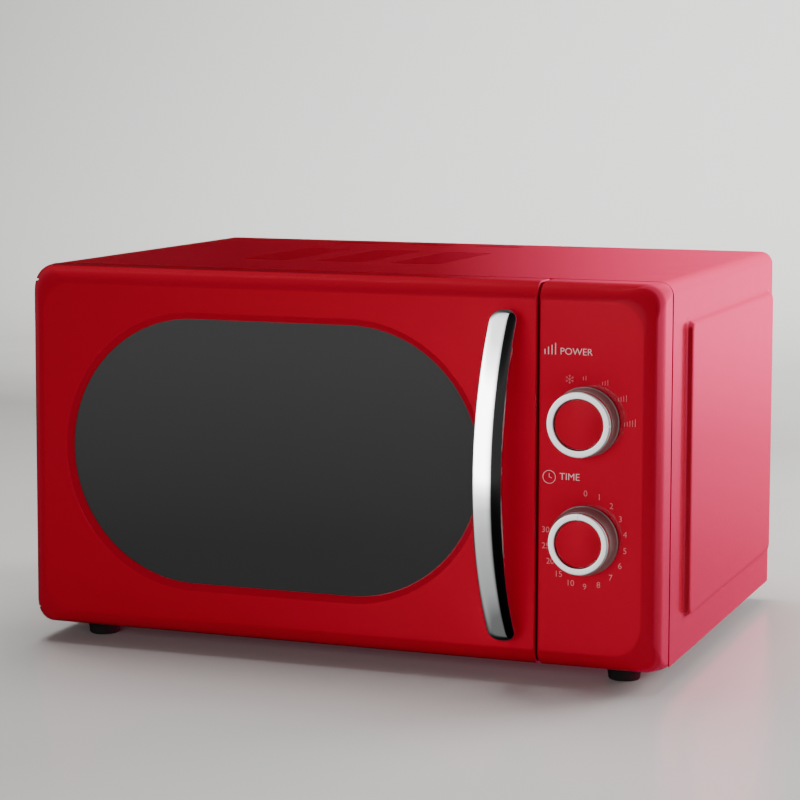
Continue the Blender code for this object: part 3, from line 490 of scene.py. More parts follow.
def corner_radius(depth, rear):
    """Large corners at the flat front that tighten to the case's own corners at the seam."""
    return rear + (FACE_CORNER - rear) * max(1 - depth / FASCIA_BACK, 0) ** 1.6


def corner_radii(depth, gap_side, grow, beside_gap):
    high, low = corner_radius(depth, TOP_CORNER) + grow, corner_radius(depth, LOW_CORNER) + grow
    if gap_side == "right":
        return beside_gap, high, low, beside_gap
    return high, beside_gap, beside_gap, low


def fascia_rings(left, right, gap_side):
    """Outer skin: a broad rounded edge outside and a small one beside the door gap."""
    small = 0.0011
    depths = [EDGE * (1 - math.cos(math.radians(a))) for a in range(0, 91, 5)]
    depths += [small * (1 - math.cos(math.radians(a))) for a in (15, 30, 45, 60, 75, 90)]
    depths += [0.014, 0.016, 0.018, 0.020, 0.022, 0.024, 0.026]
    groove = [(FASCIA_BACK - 0.0014, 0.0), (FASCIA_BACK - 0.0011, 0.0001), (FASCIA_BACK - 0.0009, 0.0004),
              (FASCIA_BACK - 0.00089, 0.0018), (FASCIA_BACK, 0.0018)]
    rings = []
    for depth, lip in [(depth, 0.0) for depth in sorted(set(depths))] + groove:
        broad, fine = edge_inset(depth, EDGE), edge_inset(depth, small)
        insets = (broad, fine) if gap_side == "right" else (fine, broad)
        sides = (lip, 0) if gap_side == "right" else (0, lip)
        points = outline(left + insets[0] + sides[0], right - insets[1] - sides[1], BOTTOM + broad + lip,
                         TOP - broad - lip, corner_radii(depth, gap_side, 0.0, small))
        rings.append(flat_ring(points, depth))
    return rings


def pocket_rings(left, right, gap_side):
    rings = []
    for depth in (SKIN, 0.005, 0.006, 0.0075, 0.009, 0.0105, EDGE, 0.016, 0.020, 0.024, FASCIA_BACK + 0.01):
        inner = EDGE - WALL
        inset = EDGE - (math.sqrt(inner ** 2 - (EDGE - depth) ** 2) if depth < EDGE else inner)
        insets = (inset, WALL) if gap_side == "right" else (WALL, inset)
        points = outline(left + insets[0], right - insets[1], BOTTOM + inset, TOP - inset,
                         corner_radii(depth, gap_side, WALL, 0.003))
        rings.append(flat_ring(points, depth))
    return rings


def window_cutter():
    """The window's sloping edge, with soft corners at the front and at the glass."""
    profile = ((-0.0020, 0.0075), (-0.00002, 0.0050), (0.00010, 0.0045), (0.00035, 0.0040), (0.0007, 0.0035),
               (GLASS_DEPTH - 0.0012, 0.0009), (GLASS_DEPTH - 0.0008, 0.0005), (GLASS_DEPTH - 0.0003, 0.0001),
               (GLASS_DEPTH + 0.004, 0.0001))
    return loft_mesh("window_cut", [flat_ring(window(grow), depth) for depth, grow in profile])


HINGE_X, HINGE_DEPTH = -0.2125, 0.0095
HANDLE_X = (HANDLE[0].x + HANDLE[1].x) / 2


def make_door_frame():
    door = add_piece("door_moulding", loft_mesh("door_moulding", fascia_rings(LEFT, DOOR_RIGHT, "right")),
                     RED)
    pocket = loft_mesh("door_pocket", pocket_rings(LEFT, DOOR_RIGHT, "right"))
    rebate = loft_mesh("rebate", [flat_ring(window(0.0055), depth) for depth in (GLASS_DEPTH - 0.0002,
                                                                                 0.012)])
    boolean(door, "DIFFERENCE", [pocket])
    bosses = boxes_mesh("bosses", [(at(-0.2165, 0.0060, 0.0245), at(-0.2035, 0.0220, 0.0380)),
                                   (at(-0.2165, 0.0060, 0.2340), at(-0.2035, 0.0220, 0.2458))])
    boolean(door, "UNION", [bosses])
    bores = [turned_mesh("bore", [(0, low), (0.0029, low), (0.0029, high), (0, high)],
                         at(HINGE_X, HINGE_DEPTH, 0), (0, 0, 1), 32) for low, high in ((0.021, 0.0365),
                                                                                      (0.2355, 0.249))]
    leaf_low, leaf_high = 0.0218, 0.2470
    slots = boxes_mesh("slots", [(at(LEFT - 0.01, 0.0050, z - 0.00015),
                                  at(HINGE_X + 0.0070, 0.04, z + 0.00175))
                                 for z in (leaf_low, leaf_high)])
    chamfer = loft_mesh("chamfer", [[at(LEFT - 0.001, FASCIA_BACK - 0.003, z), at(LEFT - 0.001, 0.04, z),
                                     at(LEFT + 0.0115, 0.04, z)] for z in (0.0, 0.3)])
    boolean(door, "DIFFERENCE", [window_cutter(), rebate, slots, *bores, chamfer])
    door.data.shade_smooth()
    door.data.set_sharp_from_angle(angle=math.radians(28))
    return finish_piece(weigh_normals(door), "door", "red_plastic", "door_frame")


def make_control_panel():
    panel = add_piece("panel_moulding", loft_mesh("panel_moulding", fascia_rings(PANEL_LEFT, RIGHT, "left")),
                      RED)
    pocket = loft_mesh("panel_pocket", pocket_rings(PANEL_LEFT, RIGHT, "left"))
    holes = [turned_mesh("hole", [(0, -0.01), (0.0042, -0.01), (0.0042, 0.01), (0, 0.01)], at(KNOB_X, 0, z),
                         (0, 1, 0), 48) for z in (POWER_Z, TIMER_Z)]
    boolean(panel, "DIFFERENCE", [pocket, *holes])
    panel.data.shade_smooth()
    panel.data.set_sharp_from_angle(angle=math.radians(28))
    return finish_piece(weigh_normals(panel), "chassis", "red_plastic", "control_panel")


def make_door_glass():
    back = GLASS[1].y - FRONT
    rings = [flat_ring(window(grow), depth) for grow,
             depth in ((0.0046, GLASS_DEPTH), (0.0050, GLASS_DEPTH + 0.0004),
                                                                (0.0050, back - 0.0004), (0.0046, back))]
    glass = add_piece("door_window", loft_mesh("door_window", rings), SMOKED)
    return finish_piece(weigh_normals(glass), "door", "smoked_glass", "door_glass")


# ---------------------------------------------------------------- handle
def make_handle():
    low, high = HANDLE[0].z, HANDLE[1].z
    width, thick = 0.0192, 0.0096
    half_chord = (high - low) / 2 - 0.0002
    foot, crown = -thick / 2 - 0.0012, HANDLE[0].y - FRONT + thick / 2
    rise = foot - crown
    radius = (half_chord ** 2 + rise ** 2) / (2 * rise)
    limit = math.asin(half_chord / radius)
    stations, sides, tip = 120, 64, 0.010
    rings = []
    for k in range(stations + 1):
        turn = -limit * math.cos(math.pi * k / stations)
        to_end = radius * (limit - abs(turn)) + 0.00004
        size = math.sqrt(max(1 - (1 - min(to_end / tip, 1)) ** 2, 0))
        spine = at(HANDLE_X, crown + radius * (1 - math.cos(turn)),
                   (low + high) / 2 + radius * math.sin(turn))
        outward = Vector((0, -math.cos(turn), math.sin(turn)))
        ring = []
        for s in range(sides):
            around = 2 * math.pi * s / sides
            c, d = math.cos(around), math.sin(around)
            flat = 0.75
            across = width / 2 * size * math.copysign(abs(c) ** 0.75, c)
            out = thick / 2 * size * math.copysign(abs(d) ** flat, d)
            ring.append(spine + Vector((across, 0, 0)) + outward * out)
        rings.append(ring)
    bar = add_piece("handle_bar", loft_mesh("handle_bar", rings), CHROME, 50)
    posts = []
    for z in (HANDLE_LOW_POST, HANDLE_HIGH_POST):
        points = stadium(HANDLE_X - 0.0006, HANDLE_X + 0.0006, z, 0.0050, 16)
        posts.append(loft_mesh("post", [flat_ring(points, depth) for depth in (-0.0110, -0.0003)]))
    boolean(bar, "UNION", posts)
    bar.data.shade_smooth()
    bar.data.set_sharp_from_angle(angle=math.radians(50))
    bar.visible_glossy = False
    return finish_piece(bar, "door", "chrome", "handle")


HANDLE_LOW_POST = (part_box("handle_screw_low")[0].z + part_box("handle_screw_low")[1].z) / 2
HANDLE_HIGH_POST = (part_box("handle_screw_high")[0].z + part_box("handle_screw_high")[1].z) / 2


# ---------------------------------------------------------------- dials
def arc(cx, cy, radius, start, end, steps):
    return [(cx + radius * math.cos(math.radians(start + (end - start) * k / steps)),
             cy + radius * math.sin(math.radians(start + (end - start) * k / steps)))
            for k in range(steps + 1)]


def make_dial(name, body, z, pointer, front, ring):
    """Chrome dial: skirt, a fine step, a front ring with soft edges, and a red cap let into it."""
    profile = [(0.0034, -0.0012), (0.0214, -0.0012)] + arc(0.0214, -0.0018, 0.0006, 90, -50, 9)
    rear = 0.0203 * ring
    profile += [(0.0214, -0.0026), (0.0214, -0.0080), (rear + 0.0009, front + 0.0052),
                (rear + 0.0006, front + 0.0045), (rear + 0.0001, front + 0.0043),
                (rear - 0.0003, front + 0.0039),
                (0.0165 * ring, front + 0.0039), (0.0165 * ring, -0.0110), (0.0034, -0.0110)]
    skirt = add_piece(name + "_dial_skirt", turned_mesh(name + "_dial_skirt", profile, at(KNOB_X, 0, z),
                                                        (0, 1, 0),
                                                        128, True), DIAL_SKIRT_PAINTED_REFLECTION, 40)
    finish_piece(skirt, body, "chrome", name + "_knob")
    profile = [(0.0162, front + 0.0038), (0.0206, front + 0.0038), (0.0208, front + 0.0036),
               (0.0208, front + 0.0018)]
    profile += arc(0.0194, front + 0.0014, 0.0014, 0, -90, 10)
    profile += [(0.0176, front)] + arc(0.0168, front + 0.0007, 0.0007, -90, -180,
                                       6) + [(0.0161, front + 0.0024)]
    profile = [(radius * ring, distance) for radius, distance in profile]
    knob = add_piece(name + "_dial", turned_mesh(name + "_dial", profile, at(KNOB_X, 0, z), (0, 1, 0), 128,
                                                 True),
                     DIAL_RING, 40)
    notch_low, notch_high = 0.0160 * ring, 0.0210 * ring
    direction = Vector((math.sin(pointer), 0, math.cos(pointer)))
    across = Vector((direction.z, 0, -direction.x))
    centre = at(KNOB_X, 0, z)
    rings = []
    for distance in (notch_low, notch_high + 0.002):
        base = centre + direction * distance
        rings.append([base + across * a + Vector((0, d, 0)) for a, d in ((-0.00055, front - 0.001),
                                                                       (0.00055, front - 0.001),
                                                                       (0.00012, front + 0.00055),
                                                                       (-0.00012, front + 0.00055))])
    boolean(knob, "DIFFERENCE", [loft_mesh("notch", rings)])
    knob.data.shade_smooth()
    knob.data.set_sharp_from_angle(angle=math.radians(40))
    finish_piece(knob, body, "chrome")

    rim = front + 0.0016
    edge = 0.0157 * ring
    profile = [(0, -0.0114), (edge, -0.0114), (edge, rim + 0.0006)]
    profile += arc(edge - 0.0005, rim + 0.0005, 0.0005, 0, -80, 5)
    dome = [((edge - 0.0009) * (1 - k / 10), rim - 0.0007 * (1 - (1 - k / 10) ** 2)) for k in range(11)]
    cap = add_piece(name + "_dial_cap", turned_mesh(name + "_dial_cap", profile + dome, at(KNOB_X, 0, z),
                                                    (0, 1, 0), 96), RED, 40)
    finish_piece(cap, body, "red_plastic", name + "_cap")


# ---------------------------------------------------------------- printed marks
PRINT_DEPTH = -0.00006


def mark_bars(x, z, heights, width, pitch):
    """Upright bars standing on one line; x is the left edge of the first."""
    return boxes_mesh("bars", [(at(x + k * pitch, PRINT_DEPTH, z), at(x + k * pitch + width, 0.00004, z + h))
                               for k, h in enumerate(heights)])


def mark_stroke(start, end, width):
    a, b = Vector((start[0], 0, start[1])), Vector((end[0], 0, end[1]))
    side = (b - a).normalized().cross(Vector((0, 1, 0))) * (width / 2)
    points = [(p.x, p.z) for p in (a + side, b + side, b - side, a - side)]
    return loft_mesh("stroke", [flat_ring(points, depth) for depth in (PRINT_DEPTH, 0.00004)])


def mark_circle(x, z, radius, width):
    profile = [(radius - width / 2, PRINT_DEPTH), (radius + width / 2, PRINT_DEPTH),
               (radius + width / 2, 0.00004),
               (radius - width / 2, 0.00004)]
    return turned_mesh("circle", profile, at(x, 0, z), (0, 1, 0), 48, True)


def mark_text(words, x, z, height, centred=True):
    """Plain sans lettering; height is the capital height."""
    curve = bpy.data.curves.new("lettering", "FONT")
    curve.body = words
    curve.extrude = 0.00005 / height
    curve.offset = -0.007
    curve.resolution_u = 4
    text = bpy.data.objects.new("lettering", curve)
    bpy.context.scene.collection.objects.link(text)
    bpy.context.view_layer.update()
    graph = bpy.context.evaluated_depsgraph_get()
    mesh = bpy.data.meshes.new_from_object(text.evaluated_get(graph), depsgraph=graph)
    bpy.data.objects.remove(text, do_unlink=True)
    co = np.array([v.co for v in mesh.vertices])
    low, high = co.min(0), co.max(0)
    scale = height / (high[1] - low[1])
    x0 = (low[0] + high[0]) / 2 if centred else low[0]
    z0 = (low[1] + high[1]) / 2
    for v in mesh.vertices:
        v.co = at(x + (v.co.x - x0) * scale, PRINT_DEPTH + 0.00005 - v.co.z * height,
                  z + (v.co.y - z0) * scale)
    return mesh


def dial_mark(angle, radius, centre_z):
    turn = math.radians(angle)
    return KNOB_X + radius * math.sin(turn), centre_z + radius * math.cos(turn)


def snowflake(x, z, size, width):
    strokes = []
    for k in range(3):
        turn = math.radians(90 + 60 * k)
        arm = Vector((math.cos(turn), math.sin(turn))) * size
        strokes.append(mark_stroke((x - arm.x, z - arm.y), (x + arm.x, z + arm.y), width))
        for end in (-1, 1):
            fork = Vector((x + end * arm.x * 0.58, z + end * arm.y * 0.58))
            for bend in (-45, 45):
                away = turn + math.radians(bend)
                tip = fork + Vector((math.cos(away), math.sin(away))) * (end * size * 0.36)
                strokes.append(mark_stroke(tuple(fork), tuple(tip), width))
    return strokes


def print_marks(name, meshes, ink):
    work = bmesh.new()
    for mesh in meshes:
        work.from_mesh(mesh)
    mesh = bpy.data.meshes.new(name)
    work.to_mesh(mesh)
    work.free()
    return finish_piece(add_piece(name, mesh, ink, 0), "chassis", "red_plastic")


def make_markings():
    titles = [mark_bars(0.1450, 0.2129, [0.0033, 0.0047, 0.0060, 0.0073], 0.0006, 0.0023),
              mark_text("POWER", 0.1555, 0.2152, 0.0042, centred=False),
              mark_circle(0.1487, 0.1354, 0.0041, 0.00032),
              mark_stroke((0.1487, 0.1355), (0.1487, 0.1379), 0.0003),
              mark_stroke((0.1486, 0.1354), (0.1505, 0.1348), 0.0003),
              mark_text("TIME", 0.1555, 0.1362, 0.0042, centred=False)]
    print_marks("panel_titles", titles, INK)
    pitch = 0.0017
    scales = []
    for count, angle in zip((2, 3, 4, 5), (-2.5, 25.3, 55.4, 88.8)):
        x, z = dial_mark(angle, 0.0282, POWER_Z)
        scales.append(mark_bars(x - pitch * (count - 1) / 2 - 0.0002, z - 0.0024,
                                [0.0023 + 0.0006 * k for k in range(count)], 0.00032, pitch))
    x, z = dial_mark(-22.8, 0.0283, POWER_Z)
    scales += snowflake(x, z, 0.0029, 0.00022)
    for k, label in enumerate(("0", "1", "2", "3", "4", "5", "6", "7", "8", "9", "10", "15", "20", "25",
                               "30")):
        turn = math.radians(20 * k)
        scales.append(mark_text(label, KNOB_X + 0.0262 * math.sin(turn), TIMER_Z + 0.0296 * math.cos(turn),
                                0.0037))
    print_marks("dial_scales", scales, FAINT_INK)


# ---------------------------------------------------------------- case
PAD_FRONT, PAD_BACK, PAD_LOW, PAD_HIGH = 0.060, 0.316, 0.033, 0.235
PAD_SLOPE, PAD_ROUND = 0.009, 0.012
BEND = 0.009
PAD_RISE = PAD_X - RIGHT
PAD_PROFILE = ((0.0, 0.0), (0.20, 0.012), (0.36, 0.045), (0.46, 0.10), (0.51, 0.17), (0.54, 0.25),
               (0.70, 0.80),
               (0.73, 0.87), (0.78, 0.925), (0.85, 0.965), (0.93, 0.99), (1.0, 1.0))


def pad_rise(depth, z):
    """How far the pressed side panel stands out at a point, with soft bends at both edges of its slope."""
    half_d, half_z = (PAD_BACK - PAD_FRONT) / 2, (PAD_HIGH - PAD_LOW) / 2
    dx = abs(depth - (PAD_FRONT + PAD_BACK) / 2) - (half_d - PAD_ROUND)
    dz = abs(z - (PAD_LOW + PAD_HIGH) / 2) - (half_z - PAD_ROUND)
    outside = math.hypot(max(dx, 0), max(dz, 0)) + min(max(dx, dz), 0)
    t = (PAD_ROUND - outside) / PAD_SLOPE
    for (t0, h0), (t1, h1) in zip(PAD_PROFILE, PAD_PROFILE[1:]):
        if t <= t1:
            share = min(max((t - t0) / (t1 - t0), 0), 1)
            return PAD_RISE * (h0 + (h1 - h0) * share)
    return PAD_RISE


def spaced(start, end, step):
    count = max(1, round((end - start) / step))
    return [start + (end - start) * k / count for k in range(count)]


def case_lines(front, back, low, high):
    """Grid lines, close together across the slopes and round the corners and wide elsewhere."""
    fine, wide = 0.00045, 0.03
    band = PAD_ROUND + 0.003
    return (spaced(front, low - 0.001, wide) + spaced(low - 0.001, low + band, fine)
            + spaced(low + band, high - band, wide) + spaced(high - band, high + 0.001, fine)
            + spaced(high + 0.001, back, wide) + [back])


def make_case():
    depths = case_lines(CASE_FRONT, CASE_BACK, PAD_FRONT, PAD_BACK)
    heights = case_lines(CASE[0].z, TOP - BEND, PAD_LOW, PAD_HIGH)
    work = bmesh.new()
    rows = []
    for depth in depths:
        row = [at(RIGHT + pad_rise(depth, z), depth, z) for z in heights]
        for k in range(1, 13):
            turn = math.radians(90 * k / 13)
            row.append(at(RIGHT - BEND + BEND * math.cos(turn), depth, TOP - BEND + BEND * math.sin(turn)))
        row += [at(RIGHT - BEND, depth, TOP)]
        row += [Vector((-p.x, p.y, p.z)) for p in reversed(row)]
        rows.append([work.verts.new(p) for p in row])
    for near, far in zip(rows, rows[1:]):
        for k in range(len(near) - 1):
            work.faces.new((near[k], near[k + 1], far[k + 1], far[k]))
    mesh = bpy.data.meshes.new("case_wrap")
    work.to_mesh(mesh)
    work.free()
    case = add_piece("case_wrap", mesh, ENAMEL_RED, 40)
    thick = case.modifiers.new("sheet", "SOLIDIFY")
    thick.thickness = 0.0009
    thick.offset = 1 if mesh.polygons[0].normal.x < 0 else -1
    apply_modifiers(case)
    boolean(case, "DIFFERENCE", [vent_cutters()])
    case.data.shade_smooth()
    case.data.set_sharp_from_angle(angle=math.radians(40))
    return finish_piece(weigh_normals(case), "chassis", "red_enamel", "outer_case")


def vent_cutters():
    """Long slots with round ends, in three groups and a short pair behind each."""
    depths = [0.114 + 0.0085 * k + 0.0015 for k in range(14)] + [0.2935, 0.3020]
    work = bmesh.new()
    for x in (0.016, -0.039, -0.094):
        for depth in depths:
            rows = []
            for z in (TOP - 0.004, TOP + 0.004):
                points = stadium(x - 0.0165, x + 0.0165, depth, 0.0015, 8)
                rows.append([work.verts.new(at(px, py, z)) for px, py in points])
            work.faces.new(rows[0][::-1])
            work.faces.new(rows[1])
            for k in range(len(rows[0])):
                j = (k + 1) % len(rows[0])
                work.faces.new((rows[0][k], rows[0][j], rows[1][j], rows[1][k]))
    return to_mesh(work, "vents")


# ---------------------------------------------------------------- feet
def make_feet():
    for front in ("front", "rear"):
        for side in ("left", "right"):
            node = "foot_%s_%s" % (front, side)
            low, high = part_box(node)
            centre = (low + high) / 2
            radius, tall = (high.x - low.x) / 2, high.z
            profile = [(0, 0), (radius - 0.0036, 0)] + arc(radius - 0.0036, 0.0013, 0.0013, -90, 10, 6)
            profile += [(radius - 0.0014, 0.0075), (radius - 0.0005, 0.0090)]
            profile += arc(radius - 0.0012, 0.0104, 0.0012, 0, 60, 4) + [(radius - 0.0012, tall), (0, tall)]
            foot = add_piece(node + "_rubber", turned_mesh(node, profile, (centre.x, centre.y, 0), (0, 0, 1),
                                                           64),
                             RUBBER, 40)
            finish_piece(foot, "chassis", "rubber", node)


# ---------------------------------------------------------------- CAD nodes that keep their shape
KEPT = {
    "base_plate": (ZINC, 0), "rear_panel": (ENAMEL_RED, 0), "cord_gland": (BLACK, 0.0003),
    "cavity": (CAVITY_GREY, 0), "waveguide": (ZINC, 0.0003), "waveguide_cover": (MICA, 0.0002),
    "magnetron_yoke": (ZINC, 0.0004), "magnetron_anode": (ZINC, 0), "transformer_core": (LAMINATE, 0.0005),
    "transformer_windings": (COPPER, 0.002), "hv_capacitor": (ZINC, 0.0004), "hv_diode": (BLACK, 0.0005),
    "hv_fuse": (FUSE, 0.0008), "fan_shroud": (ZINC, 0.0002), "fan_motor": (LAMINATE, 0.0008),
    "turntable_motor": (ZINC, 0.0005), "power_switch": (BLACK, 0.001), "timer_unit": (WHITE, 0.001),
    "timer_bell": (BRASS, 0.0005), "latch_board": (WHITE, 0.0004), "primary_switch": (BLACK, 0.0005),
    "secondary_switch": (BLACK, 0.0005), "monitor_switch": (BLACK, 0.0005), "hinge_low": (ZINC, 0.0003),
    "hinge_high": (ZINC, 0.0003), "oven_lamp": (CLEAR, 0), "lamp_holder": (WHITE, 0.0006),
    "thermal_cutout": (BLACK, 0.0004), "filter_board": (BOARD, 0.0003), "door_screen": (ZINC, 0),
    "inner_window": (CLEAR, 0.0003), "choke_cover": (BLACK, 0.0004), "handle_screw_low": (ZINC, 0.0003),
    "handle_screw_high": (ZINC, 0.0003), "latch_hooks": (WHITE, 0.0005), "turntable_coupler": (WHITE, 0.0006),
    "roller_ring": (WHITE, 0.0008), "roller_1": (WHITE, 0.0004), "roller_2": (WHITE, 0.0004),
    "roller_3": (WHITE, 0.0004), "fan_blade": (BLACK, 0.0002), "primary_plunger": (WHITE, 0.0002),
    "secondary_plunger": (WHITE, 0.0002), "monitor_plunger": (WHITE, 0.0002), "power_shaft": (ZINC, 0.0003),
    "timer_shaft": (ZINC, 0.0003), "glass_tray": (CLEAR, 0),
}


def dress_kept_nodes():
    """Give the kept nodes their materials, with rounded edges or, where they stay sharp, flat faces."""
    for node, (finish_material, width) in KEPT.items():
        obj = frame["nodes"][node]
        obj.data.materials.clear()
        obj.data.materials.append(finish_material)
        obj.data.shade_smooth()
        if width:
            soften(obj, width)
        else:
            obj.modifiers.new("weld", "WELD").merge_threshold = WELD
            split = obj.modifiers.new("split", "EDGE_SPLIT")
            split.split_angle = math.radians(CREASE)
            split.use_edge_sharp = False
            weigh_normals(obj)


# ---------------------------------------------------------------- studio
def make_floor():
    """A pale polished floor that curves up into a backdrop."""
    work = bmesh.new()
    width, near, far, bend, tall = 9.0, -6.0, 3.4, 1.8, 4.5
    path = [(near, 0.0), (far - bend, 0.0)]
    path += [(far - bend + bend * math.sin(math.radians(a)), bend - bend * math.cos(math.radians(a)))
             for a in range(6, 91, 6)]
    path += [(far, tall)]
    rows = [[work.verts.new((x, y, z)) for x in (-width, width)] for y, z in path]
    for low, high in zip(rows, rows[1:]):
        work.faces.new((low[0], low[1], high[1], high[0]))
    mesh = to_mesh(work, "studio_floor")
    pale = new_material("pale_floor", (0.78, 0.77, 0.75), 0.24, Specular_IOR_Level=0.35)
    vary_roughness(pale, add_noise(pale, 8, 3), 0.20, 0.28)
    floor = add_piece("studio_floor", mesh, pale, 60)
    floor.visible_glossy = False


def ramp(tree, value, stops):
    """A colour that follows a value from 0 to 1 through (position, colour) stops."""
    made = tree.nodes.new("ShaderNodeValToRGB")
    elements = made.color_ramp.elements
    while len(elements) < len(stops):
        elements.new(0.5)
    for element, (position, colour) in zip(elements, stops):
        element.position = position
        element.color = (*colour, 1)
    tree.links.new(value, made.inputs["Fac"])
    return made.outputs["Color"]


def angle_share(tree, function, sources, low, high):
    """An angle worked out from coordinates, as its share of the span from low to high."""
    angle = tree.nodes.new("ShaderNodeMath")
    angle.operation = function
    for k, source in enumerate(sources):
        tree.links.new(source, angle.inputs[k])
    span = tree.nodes.new("ShaderNodeMapRange")
    span.inputs["From Min"].default_value = math.radians(low)
    span.inputs["From Max"].default_value = math.radians(high)
    tree.links.new(angle.outputs["Value"], span.inputs["Value"])
    return span.outputs["Result"]


def glowing_cloth(name, power, around, upward):
    """Cloth that glows by bearing and by height, and lets through what lies behind it."""
    made = bpy.data.materials.new(name)
    made.use_nodes = True
    tree = made.node_tree
    tree.nodes.remove(tree.nodes["Principled BSDF"])
    place = tree.nodes.new("ShaderNodeNewGeometry")
    outward = tree.nodes.new("ShaderNodeVectorMath")
    outward.operation = "SUBTRACT"
    outward.inputs[1].default_value = TENT_CENTRE
    tree.links.new(place.outputs["Position"], outward.inputs[0])
    unit = tree.nodes.new("ShaderNodeVectorMath")
    unit.operation = "NORMALIZE"
    tree.links.new(outward.outputs["Vector"], unit.inputs[0])
    split = tree.nodes.new("ShaderNodeSeparateXYZ")
    tree.links.new(unit.outputs["Vector"], split.inputs["Vector"])
    bearing = angle_share(tree, "ARCTAN2", (split.outputs["Y"], split.outputs["X"]), -180, 180)
    height = angle_share(tree, "ARCSINE", (split.outputs["Z"],), -90, 90)
    ring = ramp(tree, bearing, [((a + 180) / 360, colour) for a, colour in around])
    rise = ramp(tree, height, [((a + 90) / 180, colour) for a, colour in upward])
    both = tree.nodes.new("ShaderNodeMix")
    both.data_type = "RGBA"
    both.blend_type = "MULTIPLY"
    both.inputs["Factor"].default_value = 1
    tree.links.new(ring, both.inputs["A"])
    tree.links.new(rise, both.inputs["B"])
    glow = tree.nodes.new("ShaderNodeEmission")
    glow.inputs["Strength"].default_value = power
    tree.links.new(both.outputs["Result"], glow.inputs["Color"])
    clear = tree.nodes.new("ShaderNodeBsdfTransparent")
    joined = tree.nodes.new("ShaderNodeAddShader")
    tree.links.new(glow.outputs["Emission"], joined.inputs[0])
    tree.links.new(clear.outputs["BSDF"], joined.inputs[1])
    tree.links.new(joined.outputs["Shader"], tree.nodes["Material Output"].inputs["Surface"])
    return made


def grey(*stops):
    return [(angle, (level,) * 3) for angle, level in stops]


TENT_CENTRE = (0.0, -0.05, 0.13)
PAINT_AROUND = ((-180, (0.30, 0.10, 0.12)), (-150, (0.05, 0.02, 0.02)), (-122, (0.02, 0.02, 0.02)),
                (-30, (0.02, 0.02, 0.02)), (-16, (1.0, 0.08, 0.25)), (-8, (4.2, 0.34, 1.0)),
                (70, (4.0, 0.32, 0.98)),
                (84, (2.8, 0.17, 0.58)), (98, (1.35, 0.070, 0.24)), (103, (0.66, 0.038, 0.11)),
                (108, (0.14, 0.008, 0.012)), (118, (0.02, 0.006, 0.005)), (150, (0.03, 0.02, 0.02)),
                (180, (0.30, 0.10, 0.12)))
PAINT_RISE = grey((-90, 0.10), (-30, 0.15), (-13, 0.30), (-7, 0.55), (-2, 1.0), (25, 1.0), (60, 0.7),
                  (90, 0.4))
CARD_AROUND = ((-180, (0, 0, 0)), (-131, (0, 0, 0)), (-124, (0.5, 0.0, 0.01)), (-117, (0.8, 0.0, 0.01)),
               (-101, (2.4, 0.0, 0.12)), (-96, (2.3, 0.0, 0.12)), (-86, (0, 0, 0)), (180, (0, 0, 0)))
CARD_RISE = grey((-90, 0.0), (-30, 0.0), (-18, 0.75), (-8, 0.9), (-2, 1.0), (4, 0.95), (15, 0.0), (90, 0.0))
GLASS_AROUND = grey((-180, 0.6), (-130, 0.7), (-100, 0.8), (-60, 0.2), (-20, 0.1), (0, 0.5), (90, 0.5),
                    (150, 0.2),
                    (180, 0.6))
GLASS_RISE = grey((-90, 0.1), (-12, 0.25), (-3, 0.7), (10, 1.0), (60, 0.8), (90, 0.5))
CHROME_AROUND = grey((-180, 0.35), (-165, 0.8), (-150, 1.0), (-103, 1.0), (-97, 0.6), (-91, 0.004),
                     (40, 0.004),
                     (60, 0.02), (90, 0.05), (130, 0.03), (160, 0.1), (180, 0.35))
CHROME_RISE = grey((-90, 0.012), (-65, 0.018), (-54, 0.045), (-38, 0.06), (-27, 0.08), (-19, 0.12),
                   (-14, 0.22),
                   (-10, 0.45), (-6, 0.95), (28, 1.0), (38, 0.45), (48, 0.25), (90, 0.10))
DIAL_AROUND = grey((-180, 0.8), (-140, 1.0), (-108, 0.85), (-98, 0.75), (-80, 0.35), (-60, 0.15), (-20, 0.25),
                   (20, 0.35), (50, 0.6), (80, 0.8), (110, 0.5), (150, 0.3), (180, 0.8))
DIAL_RISE = grey((-90, 0.25), (-40, 0.5), (-15, 0.8), (0, 1.0), (30, 1.0), (50, 0.5), (90, 0.3))


def make_tent(name, radius, power, around, upward, finishes):
    """A tent seen only as a reflection, and only in the pieces that have the given finishes."""
    work = bmesh.new()
    bmesh.ops.create_uvsphere(work, u_segments=72, v_segments=36, radius=radius)
    bmesh.ops.translate(work, vec=TENT_CENTRE, verts=work.verts)
    tent = add_piece(name, to_mesh(work, name), glowing_cloth(name, power, around, upward), 0)
    for ray in ("camera", "diffuse", "transmission", "shadow", "volume_scatter"):
        setattr(tent, "visible_" + ray, False)
    seen_in = bpy.data.collections.new(name)
    for piece in bpy.context.scene.objects:
        if piece.type == "MESH" and any(slot.material in finishes for slot in piece.material_slots):
            seen_in.objects.link(piece)
    tent.light_linking.receiver_collection = seen_in


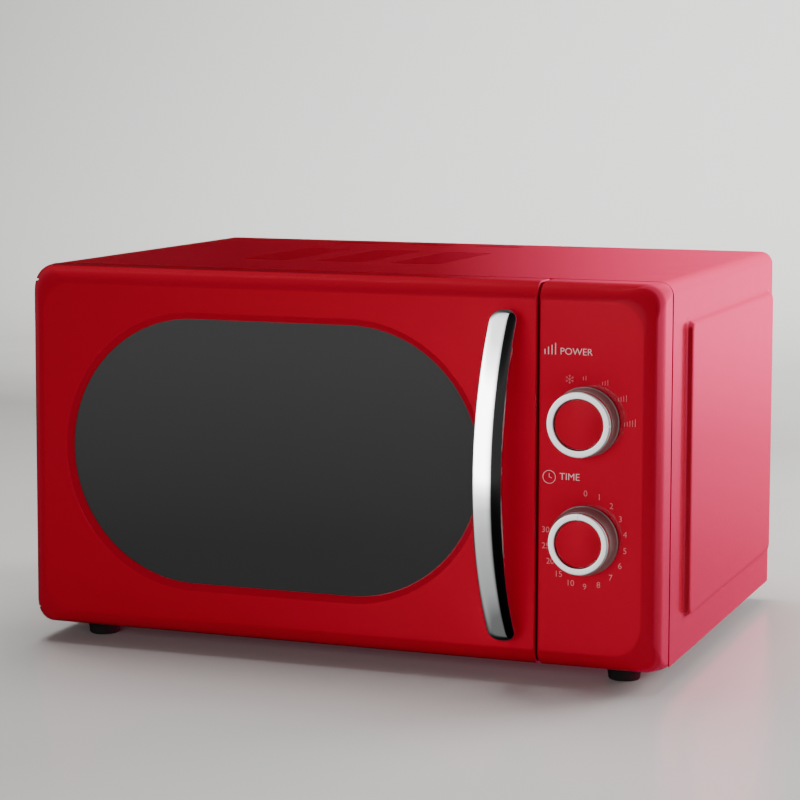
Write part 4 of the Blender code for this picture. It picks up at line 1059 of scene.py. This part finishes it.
def make_tents():
    mirrors, dials, panes = (CHROME, SATIN), (DIAL_RING, DIAL_SKIRT_PAINTED_REFLECTION), (SMOKED,)
    lit = mirrors + dials + panes
    others = [m for m in bpy.data.materials if m not in lit and m.name != "pale_floor"]
    make_tent("paint_tent", 1.50, 1.0, PAINT_AROUND, PAINT_RISE, others)
    make_tent("front_card", 1.45, 1.0, CARD_AROUND, CARD_RISE, (RED,))
    make_tent("glass_tent", 1.55, 1.5, GLASS_AROUND, GLASS_RISE, panes)
    make_tent("chrome_tent", 1.60, 10.0, CHROME_AROUND, CHROME_RISE, mirrors)
    make_tent("dial_tent", 1.65, 2.2, DIAL_AROUND, DIAL_RISE, dials)


def area_light(name, location, target, size, power, spread=180):
    data = bpy.data.lights.new(name, "AREA")
    data.shape = "RECTANGLE"
    data.size, data.size_y = size
    data.energy = power
    data.spread = math.radians(spread)
    lamp = bpy.data.objects.new(name, data)
    bpy.context.scene.collection.objects.link(lamp)
    lamp.location = location
    lamp.rotation_euler = (Vector(target) - Vector(location)).to_track_quat("-Z", "Y").to_euler()
    lamp.visible_glossy = False


def make_lights():
    world = bpy.data.worlds.new("studio")
    world.use_nodes = True
    world.node_tree.nodes["Background"].inputs["Color"].default_value = (0.92, 0.95, 1.0, 1)
    world.node_tree.nodes["Background"].inputs["Strength"].default_value = 0.14
    bpy.context.scene.world = world
    world.cycles_visibility.glossy = False
    area_light("front", (0.05, -1.9, 0.42), (0.22, -0.14, 0.13), (0.9, 0.7), 2.5, 75)
    area_light("rear_right", (0.95, 0.95, 0.45), (0.22, 0.05, 0.13), (0.7, 0.5), 25)
    area_light("overhead", (-0.2, 0.3, 1.8), (0, 0, 0.1), (1.4, 1.4), 36)
    area_light("backdrop", (0.0, 1.2, 1.4), (0.0, 3.4, 1.0), (3.0, 0.8), 110)


make_door_frame()
make_control_panel()
make_door_glass()
make_handle()
make_dial("power", "power_dial", POWER_Z, math.radians(90), KNOB_FRONT, 1.0)
make_dial("timer", "timer_dial", TIMER_Z, 0, KNOB_FRONT + 0.0012, 0.945)
make_markings()
make_case()
make_feet()
dress_kept_nodes()
make_floor()
make_tents()
make_lights()
